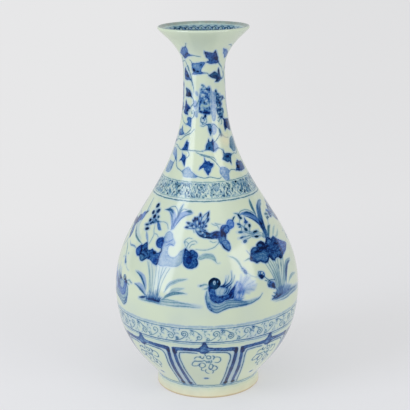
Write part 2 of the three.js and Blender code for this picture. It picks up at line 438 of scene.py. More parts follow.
def paint_duck(hand, head=9.8, breast=0.95):
    """A duck swimming to the left: the lines of the water, then its pale tail and plumes, wing, breast,
    back feathers, beak and head. Head is how wide the head is, and breast how dark the breast."""
    hand.wash([-0.4, 103, -0.8, 98, 0, 93, 2.4, 88.4, 5, 86.8, 9, 88.6, 16, 90.2, 26, 91, 33, 94.4, 24, 93.6,
            19, 95.4, 12, 95.8, 8, 94, 3.6, 95.4, 1.4, 99], 0.32, 0.26, violet=0.35, halo=0.5)
    hand.lines(0.85, 0.62, [-0.2, 104, -0.8, 99, -0.1, 94, 0.6, 90.4, 2.4, 88.4, 4.6, 86.8, 6.6, 86.9,
            9, 88.4, 12, 89.7, 16, 90.1, 20, 90.4, 26, 91, 30, 92.4, 33, 94.6, 35, 97], violet=0.15)
    hand.lines(0.7, 0.52, [1.2, 94, 2, 91, 4, 89.4, 6.4, 89.2, 9, 90.6, 12, 91.8, 16, 91.8, 20, 91.3,
            25, 91.4], [2.4, 93.4, 5, 91.6, 8, 92, 11, 93.6, 15, 94, 19, 93.2, 23, 92.4],
            [10.6, 95, 13, 95.6, 16, 95.4, 20, 94.4, 24, 92.9], violet=0.15)
    hand.wash([15.4, 97.4, 19, 96.4, 22, 98, 22.8, 102, 21.6, 107, 19, 109.6, 17.4, 108, 16.8, 103], 0.42,
            0.36, violet=1, streaks=0.35, lean=60, halo=0.5)
    hand.lines(0.9, 0.2, *([19, 101.2, 0.5 * x + 9.8, 0.5 * level + 51.6, x, level]
            for x, level in ((22, 114), (25.4, 112.4), (27.6, 112), (30.6, 108), (31.4, 105), (29, 101.6),
            (26, 99))), violet=0.8, halo=0.5)
    hand.wash([19.6, 100.6, 26, 99.6, 30.4, 101.6, 31, 105, 28.6, 110, 24.6, 112.6, 20.6, 110], 0.1, 0.12, 1,
            violet=1, halo=0.6)
    hand.leaves(2.2, 0.36, 0.3, [15.6, 96.4, 18.6, 95.6, 23, 96.4], violet=0.8)
    hand.wash([4.8, 106.4, 4.6, 101.4, 6, 99.6, 9.4, 99.4, 12, 100.4, 13.6, 103, 12.6, 106.2, 9, 106.8], 0.4,
            0.27, 1.5, violet=0.55, streaks=0.2, lean=60, over=True)
    hand.wash([0.8, 106.4, 1.2, 101, 1.8, 97.8, 3.6, 95.3, 6, 94.1, 8.5, 94.3, 11, 95.8, 14, 96.7, 16, 97.6,
            16.3, 101, 17.3, 107, 15.6, 105.6, 14, 103.4, 12.2, 100.6, 9.4, 99.7, 6.4, 99.7, 5, 101.4,
            4.6, 103.6, 5, 106.4], breast, breast - 0.2, 1.5, violet=1.6 - breast, streaks=0.12, lean=-40,
            over=True)
    hand.leaves(2.8, breast, breast, [13.4, 97.4, 14.6, 101.6, 17.2, 107], violet=1)
    hand.lines(0.9, 0.74, [10.4, 101.4, 11.6, 103, 12.4, 106], [11.8, 100.8, 13.2, 103.6, 14.6, 106.8],
            violet=0.3)
    hand.lines(1.3, 0.72, [9, 106.8, 11, 109.4, 12, 114.4], [10.2, 106.6, 13.6, 109.2, 15.5, 112.6,
            15.8, 117.4], [11.6, 105.8, 14.6, 108.4, 16, 111.6], [8.4, 107, 10.8, 107.4, 13.2, 108.4],
            shape="tail", violet=0.35)
    hand.lines(0.8, 0.4, [10, 107.4, 12.4, 110.6, 13.6, 114.6], [12.6, 106.6, 16.4, 110, 17.6, 114.4],
            violet=0.3)
    hand.leaves(1.5, 0.42, 0.24, [1.2, 107.9, -1.6, 108.9, -4.6, 107.6], [1, 106.6, -0.8, 105.8,
            -2.6, 105.4], violet=0.1)
    hand.dabs(0.7, (-3.9, 107.8, 1.8, 0.9), violet=0)
    hand.dabs(1.0, (4.6, 109.3, head, head - 0.6), inside=0.88, over=True, violet=0.15)
    hand.dabs(0.97, (2.2, 106.8, 3.6, 3.4), violet=0.6)
    hand.dabs(0.12, (4.6, 109.8, 2.3, 3.2), over=True, violet=0.8)
    hand.dabs(0.7, (4.7, 109.6, 0.9, 1.5), violet=0.2)
    hand.dabs(0.5, (6.6, 110.6, 0.8, 1.5), over=True, violet=0.8)
    hand.dabs(0.85, (1.4, 91.4, 1.3, 1.2), (2.5, 88.8, 1.5, 1.3), (0.8, 93.6, 1, 1.4))


def paint_lobe(hand, outline, edge=0.96, inside=0.72, violet=0.6, **rest):
    """One lobe of a lotus leaf: dark at its rim and hiding the lobes behind it."""
    hand.wash(outline, edge, inside, 1.5, violet=violet, over=True, **rest)


def paint_arrowhead_clump(hand):
    """A curled lotus leaf in lobes on thin stems, a spike of small flowers, blades that arch over it, and a
    tuft at its root."""
    hand.wash([-42.6, 121, -38, 109, -36.6, 97, -31, 96.6, -29.4, 108, -24.6, 119.6, -33, 120.4], 0.02, 0.04,
            2, violet=0.6)
    hand.lines(0.6, 0.42, [-43, 121.4, -40.5, 117, -38.6, 111, -37.8, 105, -37.2, 98],
            [-41.4, 121.2, -38.8, 114, -37.2, 107, -36.4, 98], [-38.8, 120.4, -36.6, 114, -35.6, 107,
            -35.6, 98], [-34.4, 120, -34, 112, -34, 104, -34.6, 97], [-31.8, 119, -31.6, 110, -31.4, 103,
            -31.8, 97], [-29.4, 119.6, -30.2, 112, -31, 104, -31.6, 97], [-27, 119.4, -29.5, 112, -30.8, 105,
            -31.4, 98], [-24.4, 119.4, -27.6, 111, -29.4, 104, -30.6, 97], violet=0.1, halo=0.1)
    # This wash and the lines on it are painted pale and violet, a painted reflection: they stand for the
    # dark leaf washed out by the left softbox's reflection.
    hand.wash([-34, 130, -34.6, 138, -33.4, 143.4, -30.6, 145, -27.6, 144, -25.6, 140.6, -23.4, 138,
            -24, 135.6, -27.6, 134.6, -28.2, 131, -26.4, 128.4, -23, 127.4, -20.4, 129.4, -18.4, 132.6,
            -15.8, 133.6, -15.6, 128, -16.4, 123.6, -20, 120.8, -26, 120.4, -33.4, 120.2], 0.36, 0.28, 1.6,
            violet=0.6, blotch=0.2)
    hand.lines(0.9, 0.4, [-26, 139.6, -29, 137.6, -33, 137], [-24.4, 135.4, -27.6, 136.2, -31, 134.4],
            violet=0.9)
    paint_lobe(hand, [-42, 130.6, -40, 130.2, -38.4, 128.8, -36, 128.6, -33.6, 129.6, -33.6, 125,
            -33.8, 120.4, -35.5, 119.9, -38, 120.6, -41, 122.6, -44, 123.4, -44.6, 127], 0.93, 0.7)
    hand.dabs(0.5, (-37, 123.2, 4, 4.4), violet=1)
    hand.dabs(0.95, (-38.6, 128.4, 4, 3), (-42.6, 124.4, 4, 1.5, 20), violet=0.3)
    paint_lobe(hand, [-53.6, 130.4, -52, 131.4, -50.5, 133, -48.8, 134.4, -47.4, 133.4, -46, 130.6,
            -44.4, 128.4, -48, 126.6, -52, 127.4], 0.95, 0.7)
    paint_lobe(hand, [-52, 124.4, -51.2, 122, -50, 120.3, -48, 119.9, -46, 121, -44, 123.4, -45, 125.6,
            -48.6, 126, -51, 126], 0.95, 0.6, 0.4)
    paint_lobe(hand, [-58, 127, -56, 129.4, -53.6, 130.8, -52, 129.2, -51.6, 126, -51.9, 123.5, -54, 122.6,
            -56.6, 124.2], 0.98, 0.68, 0.9)
    hand.wash([-51.2, 129.4, -48, 131, -45.6, 129.4, -42.4, 129.6, -42, 126, -44, 123.8, -47, 124.6,
            -51, 125.4], 0.74, 0.66, violet=0.5, over=True, halo=0, blotch=0.4)
    hand.lines(1.1, 0.99, [-52.9, 130.8, -51.8, 127.4, -51.9, 123.4], violet=0.2)
    hand.lines(0.9, 0.9, [-51.4, 124.6, -48.4, 125, -46.6, 123.8], [-49.6, 129.2, -46.4, 128, -44.4, 126],
            violet=0.3)
    hand.lines(1.4, 0.97, [-34.2, 133.4, -33.2, 131.2, -33.8, 129.2], violet=0.1)
    paint_lobe(hand, [-39.9, 136.4, -38.8, 139, -36.4, 140.2, -34, 139.6, -33.2, 136.4, -33.4, 133.2,
            -35.6, 132.2, -38.4, 133.2], 0.97, 0.8, 0.8)
    for outline in ([-15.9, 132.4, -15.6, 134.4, -14.4, 134.2, -13, 132.8, -11.4, 132, -11.4, 128,
            -15.2, 127.4], [-12, 132.9, -10.2, 133.6, -8, 132.8, -6.2, 131, -5.8, 128.8, -7, 126.6,
            -11, 127.4], [-15.9, 124.6, -14.8, 121.8, -12.6, 120.4, -10, 120, -8, 120.9, -6.2, 122.2,
            -5.6, 124.4, -6.4, 127, -10, 129, -15.6, 130]):
        paint_lobe(hand, outline, 0.95, 0.76, 0.6)
    hand.dabs(0.97, (-12, 126.2, 5, 6.4), violet=0.9)
    hand.lines(0.7, 0.3, [-7, 121.6, -6.2, 124, -6.9, 126.4], violet=0.7)

    # The tendrils that join the curled lobe to the flower
    hand.lines(0.8, 0.42, [-14.6, 134.4, -13.4, 137.4, -10.8, 139.2, -8.2, 139.8, -7, 138.6],
            [-12.6, 134.8, -11, 136.8, -8.6, 137.6], [-15.4, 136, -16.4, 139.4, -14, 141.4, -10.6, 141.2],
            [-13.4, 137.6, -14.8, 138.8, -16.8, 138.6], violet=0.1)

    # The blades over it
    hand.leaves(5, 0.3, 0.2, [-29.4, 146, -29.4, 151, -31.4, 156, -35, 159, -41, 159.4],
            [-28.6, 146.4, -26.4, 152.4, -23, 156.4, -18.4, 158.6, -12.6, 159.2], violet=0.9)
    hand.leaves(2.2, 0.62, 0.5, [-31.6, 157.4, -35, 159.5, -38, 159.6, -43, 158.8],
            [-19.4, 159.6, -16, 160.2, -13, 159.2], violet=0.05)
    hand.lines(0.75, 0.46, [-38, 160.4, -35.6, 162, -32, 162.4, -29.4, 161, -27.2, 158.4, -25.9, 155],
            [-29.8, 146, -30, 151, -32, 155, -35.6, 157.8], [-27.6, 147, -25.4, 151.6, -22, 155.4,
            -17, 157.4, -13, 158.4], [-28.6, 147, -28.4, 153, -25.6, 159, -23.6, 164.4],
            [-27.8, 152, -25, 158, -22.6, 161, -18.6, 161.2], violet=0.2)
    # A pale upright blade: its paleness is a painted reflection of the left softbox.
    hand.leaves(2.4, 0.3, 0.2, [-27.4, 154, -25.6, 160, -23.2, 165], violet=0.3)

    # The spike of flowers on its bent stem, with a bud beside it
    hand.wash([-60, 144, -57.4, 150.6, -54, 157.4, -52, 161, -49.4, 158, -46.4, 152.6, -45.4, 149.6,
            -50, 148, -53.6, 146, -55, 141.6], 0.1, 0.12, 1.4, violet=0.6, blotch=0.5)
    hand.lines(0.65, 0.46, [-47.4, 147, -46.2, 143.4, -44.6, 140.4, -45.4, 136, -46.2, 133.6],
            [-60, 145, -56, 146.6, -51, 148, -46, 149.9], [-57.6, 149.8, -52.4, 150, -48.4, 148.6],
            [-54.6, 157.4, -52, 155, -50.6, 151.4, -48, 148.4], [-55.6, 153.4, -52, 150.6],
            [-50, 150, -44, 150.2, -38.6, 150.6, -34.6, 149.4, -32.2, 146.2], [-44, 141.4, -41.4, 141,
            -39.4, 139.6], violet=0.1)
    hand.dabs(0.97, (-54.6, 160.2, 3.6, 4.6, -35), (-50.4, 157, 3.4, 4.4, -30), (-56.8, 155, 3.6, 3.6, -40),
            (-52.2, 152.4, 3.4, 3.6, -30), (-56, 149.2, 3, 2.8), (-57.4, 145.6, 5, 1.9, 12),
            (-55, 143, 5.2, 2.8, 15), (-53.2, 147.4, 2.4, 1.8), violet=0.25)
    hand.dabs(0.72, (-47.1, 153, 2.8, 2.4, -30), (-50.4, 148.2, 3.2, 1.6), (-48.4, 150.6, 3, 1.4, -20),
            (-52, 148.6, 2, 2), (-45.4, 149.8, 3.4, 1.3, 8), violet=0)
    hand.leaves(3.2, 0.62, 0.4, [-45.6, 149.6, -43.4, 147.8, -41.4, 145.6, -38.8, 144.8], violet=0.7)
    hand.leaves(2.4, 0.34, 0.28, [-54.4, 141.4, -51.4, 138.2, -47.6, 134.2], violet=0.8)

    # The blades at its left
    hand.leaves(5, 0.14, 0.12, [-56, 134.6, -64, 137.6, -70, 142, -70, 149, -66, 154, -66.6, 160],
            violet=0.5)
    hand.leaves(2, 0.62, 0.5, [-53, 131.6, -60.8, 133.8, -66.8, 136, -72, 140], violet=0)
    hand.lines(1.1, 0.46, [-66.8, 136, -71, 138.8, -74, 142.5, -72.8, 148.2, -68.6, 153, -69, 157.2,
            -69.2, 163.6], violet=0)
    hand.lines(1.0, 0.4, [-76.8, 138, -77.8, 131.2, -79.8, 126.5, -83, 121.8], violet=0.3)
    hand.leaves(1.8, 0.44, 0.36, [-58, 127.2, -62, 128.2, -67.5, 127.4, -72, 129.6], violet=0.5)
    hand.dabs(0.4, (-66, 121, 2, 1.4), (-65.6, 114.2, 2.2, 2.2), (-72, 116.8, 2, 1.6), violet=0.1)

    # The ground, the low blades and the tuft
    hand.wash([-42, 93, -36, 96, -28, 95.4, -18, 94.2, -6, 93.2, -3, 91.4, -14, 91, -28, 90.8, -38, 90.6,
            -46, 91], 0.1, 0.16, 2, violet=0.45, halo=0.6)
    hand.leaves(4.4, 0.3, 0.24, [-39.6, 100.6, -41.6, 105.4, -44, 109.4, -49.6, 112.4],
            [-39.6, 95.6, -43, 100.4, -46, 102.2, -50, 102], violet=0.95)
    hand.leaves(1.9, 0.7, 0.6, [-40, 99, -41.4, 102.6, -43.6, 106.4, -46.4, 109.4, -51.6, 112],
            [-40, 94.8, -41.8, 97, -44.6, 99.2, -47.4, 101, -50.6, 101.8], violet=0.15)
    hand.leaves(2.6, 0.52, 0.36, [-28, 94.8, -25.4, 97.6, -22.4, 99.8, -17, 101.6, -12.4, 101.4],
            violet=0.15)
    hand.leaves(3.2, 0.26, 0.16, [-26.4, 101, -23.6, 107, -18.4, 110.8, -12, 112.4],
            [-24, 99, -20, 103.6, -14, 105.4], violet=0.3)
    hand.lines(0.7, 0.3, [-26.6, 101, -24, 106.4, -19, 110.6, -12.8, 112.2], violet=0.1)
    hand.lines(0.95, 0.92, *([x, 92.6, x + 0.25 * lean, 95.6, x + 0.7 * lean, level]
            for x, lean, level in ((-38.8, -2.4, 96), (-37.6, -1.4, 98), (-36.8, -0.6, 99.6),
            (-36, -0.6, 101.4), (-35.2, 0, 98.4), (-34.4, 0.4, 100), (-33.6, 0.2, 98), (-32.8, 0.4, 101),
            (-32.2, 1, 98.6), (-31.2, 0.6, 102.6), (-30.4, 1.4, 97.4), (-29.8, 2.6, 96.6))), shape="tail",
            violet=0.45, halo=0.15)
    hand.leaves(2.2, 0.92, 0.86, [-45.6, 92.4, -42.4, 93.4, -39.4, 94.6], violet=0.4)
    hand.leaves(1.6, 0.8, 0.76, [-40, 93.2, -35, 93.4, -29.6, 93], violet=0.5)
    hand.leaves(1.2, 0.4, 0.34, [-32, 93.4, -24, 93.6, -14, 93.8, -7, 92.6], [-30, 91.6, -20, 91, -12, 91.4,
            -3.8, 90.6], [-45.6, 91, -36, 91.4, -27, 90.6], [-29, 95, -24, 95.4, -17, 94.8], violet=0.1)


def paint_petal(hand, root, tip, width, tilt=0.0):
    """A pale petal with a dark edge and a darker tip, which hides what lies behind it."""
    x, y = tip[0] - root[0], tip[1] - root[1]
    long = math.hypot(x, y)
    across = (-y / long * width / 2, x / long * width / 2)
    outline = [*root]
    for share, swell in ((0.35, 0.9), (0.7, 0.8), (1.0, 0.0), (0.7, -0.8), (0.35, -0.9)):
        outline += [root[0] + x * share + across[0] * swell, root[1] + y * share + across[1] * swell]
    hand.wash(outline, 0.8, 0.16, 1.0, violet=0.6, over=True, pieces=3)
    hand.leaves(1.7, 0.95, 0.9, [root[0] + x * 0.6 + across[0] * tilt, root[1] + y * 0.6 + across[1] * tilt,
            *tip], violet=0.3)


def paint_flower(hand):
    """A spiky lotus flower on a stalk of overlapping lobes that ends in three arms, and the sprigs about
    it."""
    for root, tip, width, tilt in (((-9, 149), (-18, 148.8), 2.4, 0), ((-9, 150.2), (-17, 152.2), 2.6, 0),
            ((-7.4, 151), (-12, 154.4), 2.4, 0.4), ((-6.6, 151.6), (-10.4, 156.2), 3, 0.6),
            ((-5.4, 152), (-5, 159), 3, 0), ((-3, 149), (0.6, 150.4), 2, 0), ((-4, 150.6), (2.4, 155.6), 3.4,
            -0.8), ((-5, 151.6), (2.8, 160.2), 4, -0.8), ((-7.6, 149.4), (-8, 156.4), 3.2, 0),
            ((-5, 149.2), (-1.6, 153.2), 2.8, 0), ((-8, 148.4), (-13, 151), 2.8, 0),
            ((-6, 148.2), (-5.4, 152.6), 3, 0)):
        paint_petal(hand, root, tip, width, tilt)
    hand.lines(0.9, 0.85, [-8, 147.8, -8.6, 150.4], [-6.4, 147.6, -4.6, 150], [-4.6, 147.6, -2.2, 149.8],
            violet=0.2)
    hand.wash([-9.6, 148.6, -6, 149.4, -2, 148, 1.4, 145.6, 4.4, 144.4, 3.6, 142, -1, 142.6, -5.6, 143.8,
            -8.2, 146], 0.7, 0.36, 1.1, violet=0.5, over=True, blotch=0.6)
    hand.leaves(2, 0.95, 0.85, [-8.4, 146.2, -5.6, 143.9, -2.4, 142.8, 1, 142.2, 5.4, 141.6, 9.4, 141.6],
            [-3, 146.6, 0, 145.2, 3, 144.6, 6, 145.6], violet=0.25)
    hand.dabs(0.92, (-4.7, 146.4, 2.4, 1.4, -20), (-2.8, 144.2, 1.8, 1.3), (0.4, 143.9, 2.2, 1.2),
            (2.2, 143.2, 2, 1.2), (-1, 147.2, 2, 1), violet=0.2)
    hand.dabs(0.2, (-6.8, 147.6, 1.8, 1.2), (-2.9, 145.4, 1.6, 1), (-0.8, 143.1, 1.2, 0.8), over=True,
            violet=0.8)
    for outline, edge, inside, violet in (([9.4, 142.6, 9, 139.6, 10.4, 137.4, 12.6, 138, 14.6, 139.2,
            15.4, 142.4, 13, 145.4], 0.9, 0.6, 0.5), ([11, 138.4, 11.6, 135.6, 13.6, 133.4, 15.8, 131.8,
            17.6, 134, 17.4, 137.4, 15.6, 140, 13, 140], 0.84, 0.54, 0.7),
            ([3.8, 143.6, 4.8, 145.6, 7.4, 146.6, 10.4, 146.2, 12.4, 144.4, 11.6, 142, 8, 141.2, 5, 141.8],
            0.97, 0.76, 0.7), ([17.4, 149, 17.6, 152, 20, 153.8, 23, 153.4, 24.6, 151.2, 23.4, 148.4,
            20.6, 147, 18.4, 147], 0.66, 0.5, 1), ([11.2, 145, 11.6, 148.4, 14, 150.2, 17.6, 150.4,
            19.6, 148.4, 18.6, 145.4, 16, 143.6, 13, 143.4], 0.86, 0.6, 0.8)):
        paint_lobe(hand, outline, edge, inside, violet, blotch=0.3)
    hand.leaves(2.4, 0.97, 0.9, [12, 141.6, 12.4, 144.6, 14, 147.6, 17, 149.6], [13, 146.4, 14.6, 143.6,
            14.4, 141], violet=0.5)
    hand.leaves(1.4, 0.95, 0.9, [11, 138.6, 12.8, 134.8, 15.8, 132.2], [23.4, 152, 25, 154, 27, 155.4],
            [4.2, 142.4, 6.4, 144.4, 9.4, 143], violet=0.1)
    hand.lines(0.7, 0.44, [4.4, 151.8, 6.8, 150.7, 9.2, 150.1, 10.2, 148.2], [7.4, 151.8, 9.6, 151.2,
            12.4, 150.8], [2.8, 139.6, 5, 138.6, 7.6, 138.9], [9.4, 139, 7.6, 136.6, 4, 134.6, -2, 133.5,
            -7.4, 133.9], [-10.6, 147.4, -9.8, 145.6], violet=0.1)
    hand.wash([-5.6, 128, -2, 130.2, 1, 130.7, 4, 129.7, 5.6, 127.6, 6.2, 125, 5.2, 125.4, 3.8, 126.6,
            0, 127.7, -4.4, 126.4], 0.36, 0.26, 1, violet=0.15)
    hand.lines(0.6, 0.36, [-5, 129, -2, 130.7, 1, 131, 4, 130.2, 5.6, 127.8, 6.1, 125.2, 7, 123.9, 8.6, 124],
            violet=0)
    hand.leaves(1.8, 0.4, 0.34, [14.6, 128.8, 18.2, 127, 20.8, 124.4, 22.4, 120.6, 22.8, 118.8], violet=0.05)
    hand.dabs(0.46, (24.9, 115.8, 3, 5, 25), (23.4, 118.6, 2.6, 1.6, -30), violet=0.6)
    hand.lines(1.0, 0.24, [22.6, 117.6, 25, 115.4, 28, 113.4], [28, 112.6, 31, 110.8, 33, 110.4], violet=0.4)


def paint_buds(hand):
    """A sprig of two heavy buds with pale specks, hung from the right clump."""
    hand.lines(0.9, 0.66, [34.4, 113.8, 36.2, 113.6, 37.6, 111.4, 38.6, 109, 41.4, 105.8, 42.4, 104.4],
            [33.6, 111.6, 34.6, 113.6], [40, 102.4, 40.6, 104.6, 43, 105.6, 46.4, 104.6],
            [38.2, 106.6, 40, 105.4], [46, 98.4, 47.4, 96.2, 46.8, 93.6], [42.6, 92.8, 44.8, 91.6, 47, 92.8],
            [44, 95, 46, 93.8], violet=0.1)
    hand.dabs(0.5, (36.8, 111.2, 6, 5.8), (43.6, 101.4, 6.8, 6, -25), violet=0.8)
    hand.dabs(1.0, (36.3, 109.6, 4.2, 3.8), (34.8, 110.8, 2.6, 2.4), (44.4, 100.8, 4.4, 4.4),
            (45.4, 99, 2.6, 2.6), violet=0.4)
    hand.dabs(0.72, (41.2, 101.6, 3.4, 3.4), (42.2, 103.8, 3, 1.6), violet=0.4)
    hand.dabs(0.08, (36.9, 112.5, 1.5, 1.6), (38.2, 107.2, 1.8, 1.2, 30), (37.6, 111, 0.9, 0.9),
            (43.6, 98.4, 1.6, 0.9, -40), over=True, violet=0.8)
    hand.dabs(0.9, (44.6, 91.2, 2.2, 1.6, 20), (46.6, 92.4, 2, 1.8), (43, 90, 2, 1.2), violet=0.2)


def paint_lotus_clump(hand):
    """A broad scalloped lotus leaf over a sheaf of stems, blades that arch out of it, a sprig of small
    flowers at its left and a tuft at its root."""
    hand.wash([43, 119, 47, 105, 49, 96, 55, 96, 57, 108, 61, 119], 0.05, 0.08, 2, violet=0.3)
    hand.wash([45.6, 110, 46.6, 98, 50.6, 95.6, 51, 104, 49, 112], 0.1, 0.14, 2, violet=0.1, halo=0.6)
    hand.lines(0.68, 0.52, [41, 119, 44, 112, 46, 106, 47.4, 98], [43.8, 119, 46, 112, 47.6, 105, 48.4, 97],
            [46, 119.4, 48.2, 112, 49.4, 104, 49.6, 96], [48.4, 119.4, 50, 111, 50.4, 102, 50.4, 96],
            [51, 118.8, 51.2, 110, 51.4, 103, 51.4, 96], [53.6, 118.8, 52.6, 112, 52.2, 104, 52, 96],
            [57.6, 118, 55.6, 112, 54, 104, 53.2, 96], [60.4, 118.4, 57.8, 111, 55.4, 103, 54, 96], violet=0,
            halo=0.1)
    hand.lines(1.0, 0.5, [52.5, 114.5, 52.6, 112], [56, 115, 55.4, 112.6], violet=0)

    # The blades over it, and the spike between them
    hand.lines(0.8, 0.48, [28, 157, 31, 156.6, 34, 158, 38, 158.5, 42, 158.2, 46, 156.6, 49.4, 154.2],
            violet=0)
    hand.leaves(4.2, 0.52, 0.4, [51.4, 137, 51, 143, 49.6, 148.6, 46.6, 152.6, 42, 155.2, 36, 156.2,
            31.6, 156], violet=0.8)
    hand.leaves(1.6, 0.76, 0.7, [50.4, 144, 48, 147.6, 45, 150.4, 41, 152.9, 36, 154.8], violet=0.5)
    hand.leaves(2.0, 0.66, 0.6, [36, 156, 40.4, 156.4, 45, 155, 48.6, 152.4], violet=0.1)
    hand.leaves(6, 0.5, 0.38, [52, 137, 52.6, 144, 54.6, 150.4, 58.2, 156, 63.4, 159.4, 71, 160.4],
            violet=0.55)
    hand.lines(0.9, 0.56, [53.6, 148, 55.6, 153.4, 58.6, 157.8, 62, 160.4, 66, 161.3, 71, 160.8],
            [55, 148, 58, 153.6, 62, 157, 68, 158.8], violet=0)
    hand.leaves(3.2, 0.62, 0.5, [50.4, 153.4, 49.9, 158, 50.4, 162, 51.8, 165], violet=0.05)
    hand.leaves(3, 0.58, 0.36, [54, 135.6, 56.4, 139.6, 59, 142, 63, 142.8], violet=0)
    hand.leaves(2.2, 0.3, 0.2, [58.6, 135, 63.6, 138.6, 70, 141], [60, 133.6, 66, 134.6, 72, 137.4],
            violet=0.1)
    hand.wash([48.6, 136, 49.6, 141, 49.8, 146, 51, 150, 52.6, 147.6, 55.6, 149.4, 54.4, 143, 55, 136], 0.4,
            0.3, 2, violet=0.5, blotch=0.5)
    hand.lines(1.1, 0.62, [50, 135.6, 50.6, 141, 49.6, 146.4], [51.6, 136, 52, 142, 52, 148],
            [53.4, 136, 53.6, 142, 55, 148], [50.4, 147.6, 52, 146, 54.6, 146.4], [49.6, 143.6, 52, 142.4,
            54, 143.8], [47.4, 136.8, 48.8, 139.6], violet=0.1)
    hand.lines(1.0, 0.4, [51, 149, 51.6, 152.4], [53, 149.4, 53.4, 154], [49, 150.4, 50.2, 154.6], violet=0)

    # The leaf, from the lobes behind to those in front
    paint_lobe(hand, [61, 132.4, 66, 130.2, 69.6, 128.2, 75, 125, 70, 122, 66, 120.4, 61.6, 119.6, 60, 126],
            0.8, 0.66, 0.9, streaks=0.2)
    for outline, inside in (([30, 123.4, 31, 127, 32, 130, 34, 131.8, 36.8, 132, 39, 130, 38.4, 124,
            34.6, 121.4, 32, 122], 0.76), ([37.6, 131.4, 39.4, 133.6, 42.6, 134.7, 45.6, 133.4, 47, 131.4,
            46.4, 127, 41, 125.6, 38, 127.4], 0.84), ([54, 133.8, 56.6, 134, 59, 134.6, 60.8, 133.4,
            62.6, 130.8, 62, 126.4, 57, 126, 54, 129], 0.86), ([46.4, 132, 48.4, 134.4, 50.6, 136, 53, 135.6,
            55.4, 133.4, 55.6, 128, 51, 126, 47, 127.6], 0.8),
            ([33.4, 124.8, 33.6, 122, 35.2, 120.4, 38, 121.2, 40.4, 119.8, 42.4, 119, 44.4, 119.8, 46, 121.8,
            47.4, 122.4, 47.6, 127, 40, 128.4, 34, 128], 0.7),
            ([47, 122.6, 48.4, 119.9, 50.5, 118.5, 53, 119.8, 56, 119.4, 58, 118.3, 60.6, 118.5, 62.6, 119.8,
            63.6, 124, 61, 128.4, 54, 128, 47.6, 127.4], 0.76)):
        paint_lobe(hand, outline, 0.98, inside, 0.55, blotch=0.3, streaks=0.15)
    hand.wash([36, 124.6, 40, 123.2, 45.6, 123.6, 46.6, 126, 41, 127, 37, 127], 0.74, 0.66, 1, violet=0.5,
            over=True, halo=0)
    hand.dabs(0.66, (52, 121.8, 5, 1.7), (58.2, 122.2, 3.6, 2), (41.8, 132.2, 3, 1.4, -15),
            (51.6, 132.6, 4, 1.8), (34.8, 129.4, 2.6, 2), over=True, violet=0.7)
    hand.lines(1.2, 1.0, [38.6, 133, 42.6, 134.6, 45.6, 133.4], [56.6, 134, 59, 134.5, 61.6, 132.2],
            [34.2, 120.9, 37.4, 121.4, 41, 119.6, 44, 119.6, 46.6, 122.6, 48.4, 120, 50.6, 118.6],
            [56, 119.4, 58.4, 118.2, 61.6, 119.4], [34, 128.6, 38, 128.8, 42, 130, 46, 129.6, 50, 130.6],
            violet=0.35)
    hand.lines(0.8, 0.92, [48, 129.4, 54, 130, 61, 128.6], [49, 126.6, 55, 125.4, 60.6, 126.4], violet=0.6)
    hand.leaves(1.5, 0.42, 0.36, [25.6, 123.6, 30, 124.6, 33.4, 122.8], violet=0)
    hand.lines(0.8, 0.34, [29, 130.6, 31.2, 126.6, 32.6, 123.4], violet=0.7)

    # The sprig of small flowers
    hand.wash([27, 139, 30, 146, 34, 151.6, 38, 149.4, 38.6, 143.6, 43.4, 142.6, 42, 138.6, 34, 139,
            30, 136.4], 0.06, 0.1, 2, violet=0.7, blotch=0.5)
    hand.lines(0.7, 0.5, [29, 149.6, 32, 147.4, 34, 144.6, 38, 142.4], [29, 150, 31.8, 154, 30.2, 156.6],
            [31, 144, 35, 142, 38, 141.6, 43, 142, 47.6, 140], [27.6, 140.2, 33, 140.4, 38, 140.6, 42, 141.2,
            47, 138.6], [33, 147, 35.6, 150], [36, 142, 38, 146.6], [47.6, 137.4, 44, 138.8, 38, 139.4,
            31.6, 138.4], [28, 143.6, 30, 146.4, 29.4, 149.4], [26.6, 157.4, 29.4, 157], violet=0)
    hand.dabs(0.97, (30.9, 155.4, 1.8, 3, 20), (32, 153.6, 2.8, 2.2, -30), (38.2, 147.2, 2.6, 3.2, -35),
            (33.7, 145, 3, 3.4, 30), (41.6, 142.3, 5.4, 1.8, 5), (41.2, 138.7, 4.8, 2, -8), violet=0)
    hand.wash([33.8, 150, 35, 151.6, 35.8, 153.6, 36.8, 151.4, 38, 149.9, 36, 149.2], 0.95, 0.85, 1,
            violet=0.7)
    hand.dabs(0.66, (28, 143.9, 4.8, 2.2, -10), (27.6, 140.2, 4.2, 1.6, 10), (29.6, 137.2, 4.2, 2.8, 15),
            (28.4, 149.4, 3.6, 2, -20), (28.6, 147.4, 2.6, 1.6), violet=0.4)
    hand.leaves(2.4, 0.66, 0.6, [62.4, 147, 65, 148.4, 68.4, 147.6], [62.6, 151, 65.6, 150.9, 68.8, 150],
            violet=0)
    hand.leaves(2.2, 0.6, 0.5, [67.6, 152.2, 71, 152.6, 75.4, 151], [69.4, 149.4, 72, 149.4, 76, 148.6],
            violet=0.8)
    hand.lines(0.7, 0.36, [59.4, 141.6, 63, 146, 69, 149.8, 76, 153], [64, 147, 62.4, 149.4, 63.4, 151.4],
            violet=0.2)

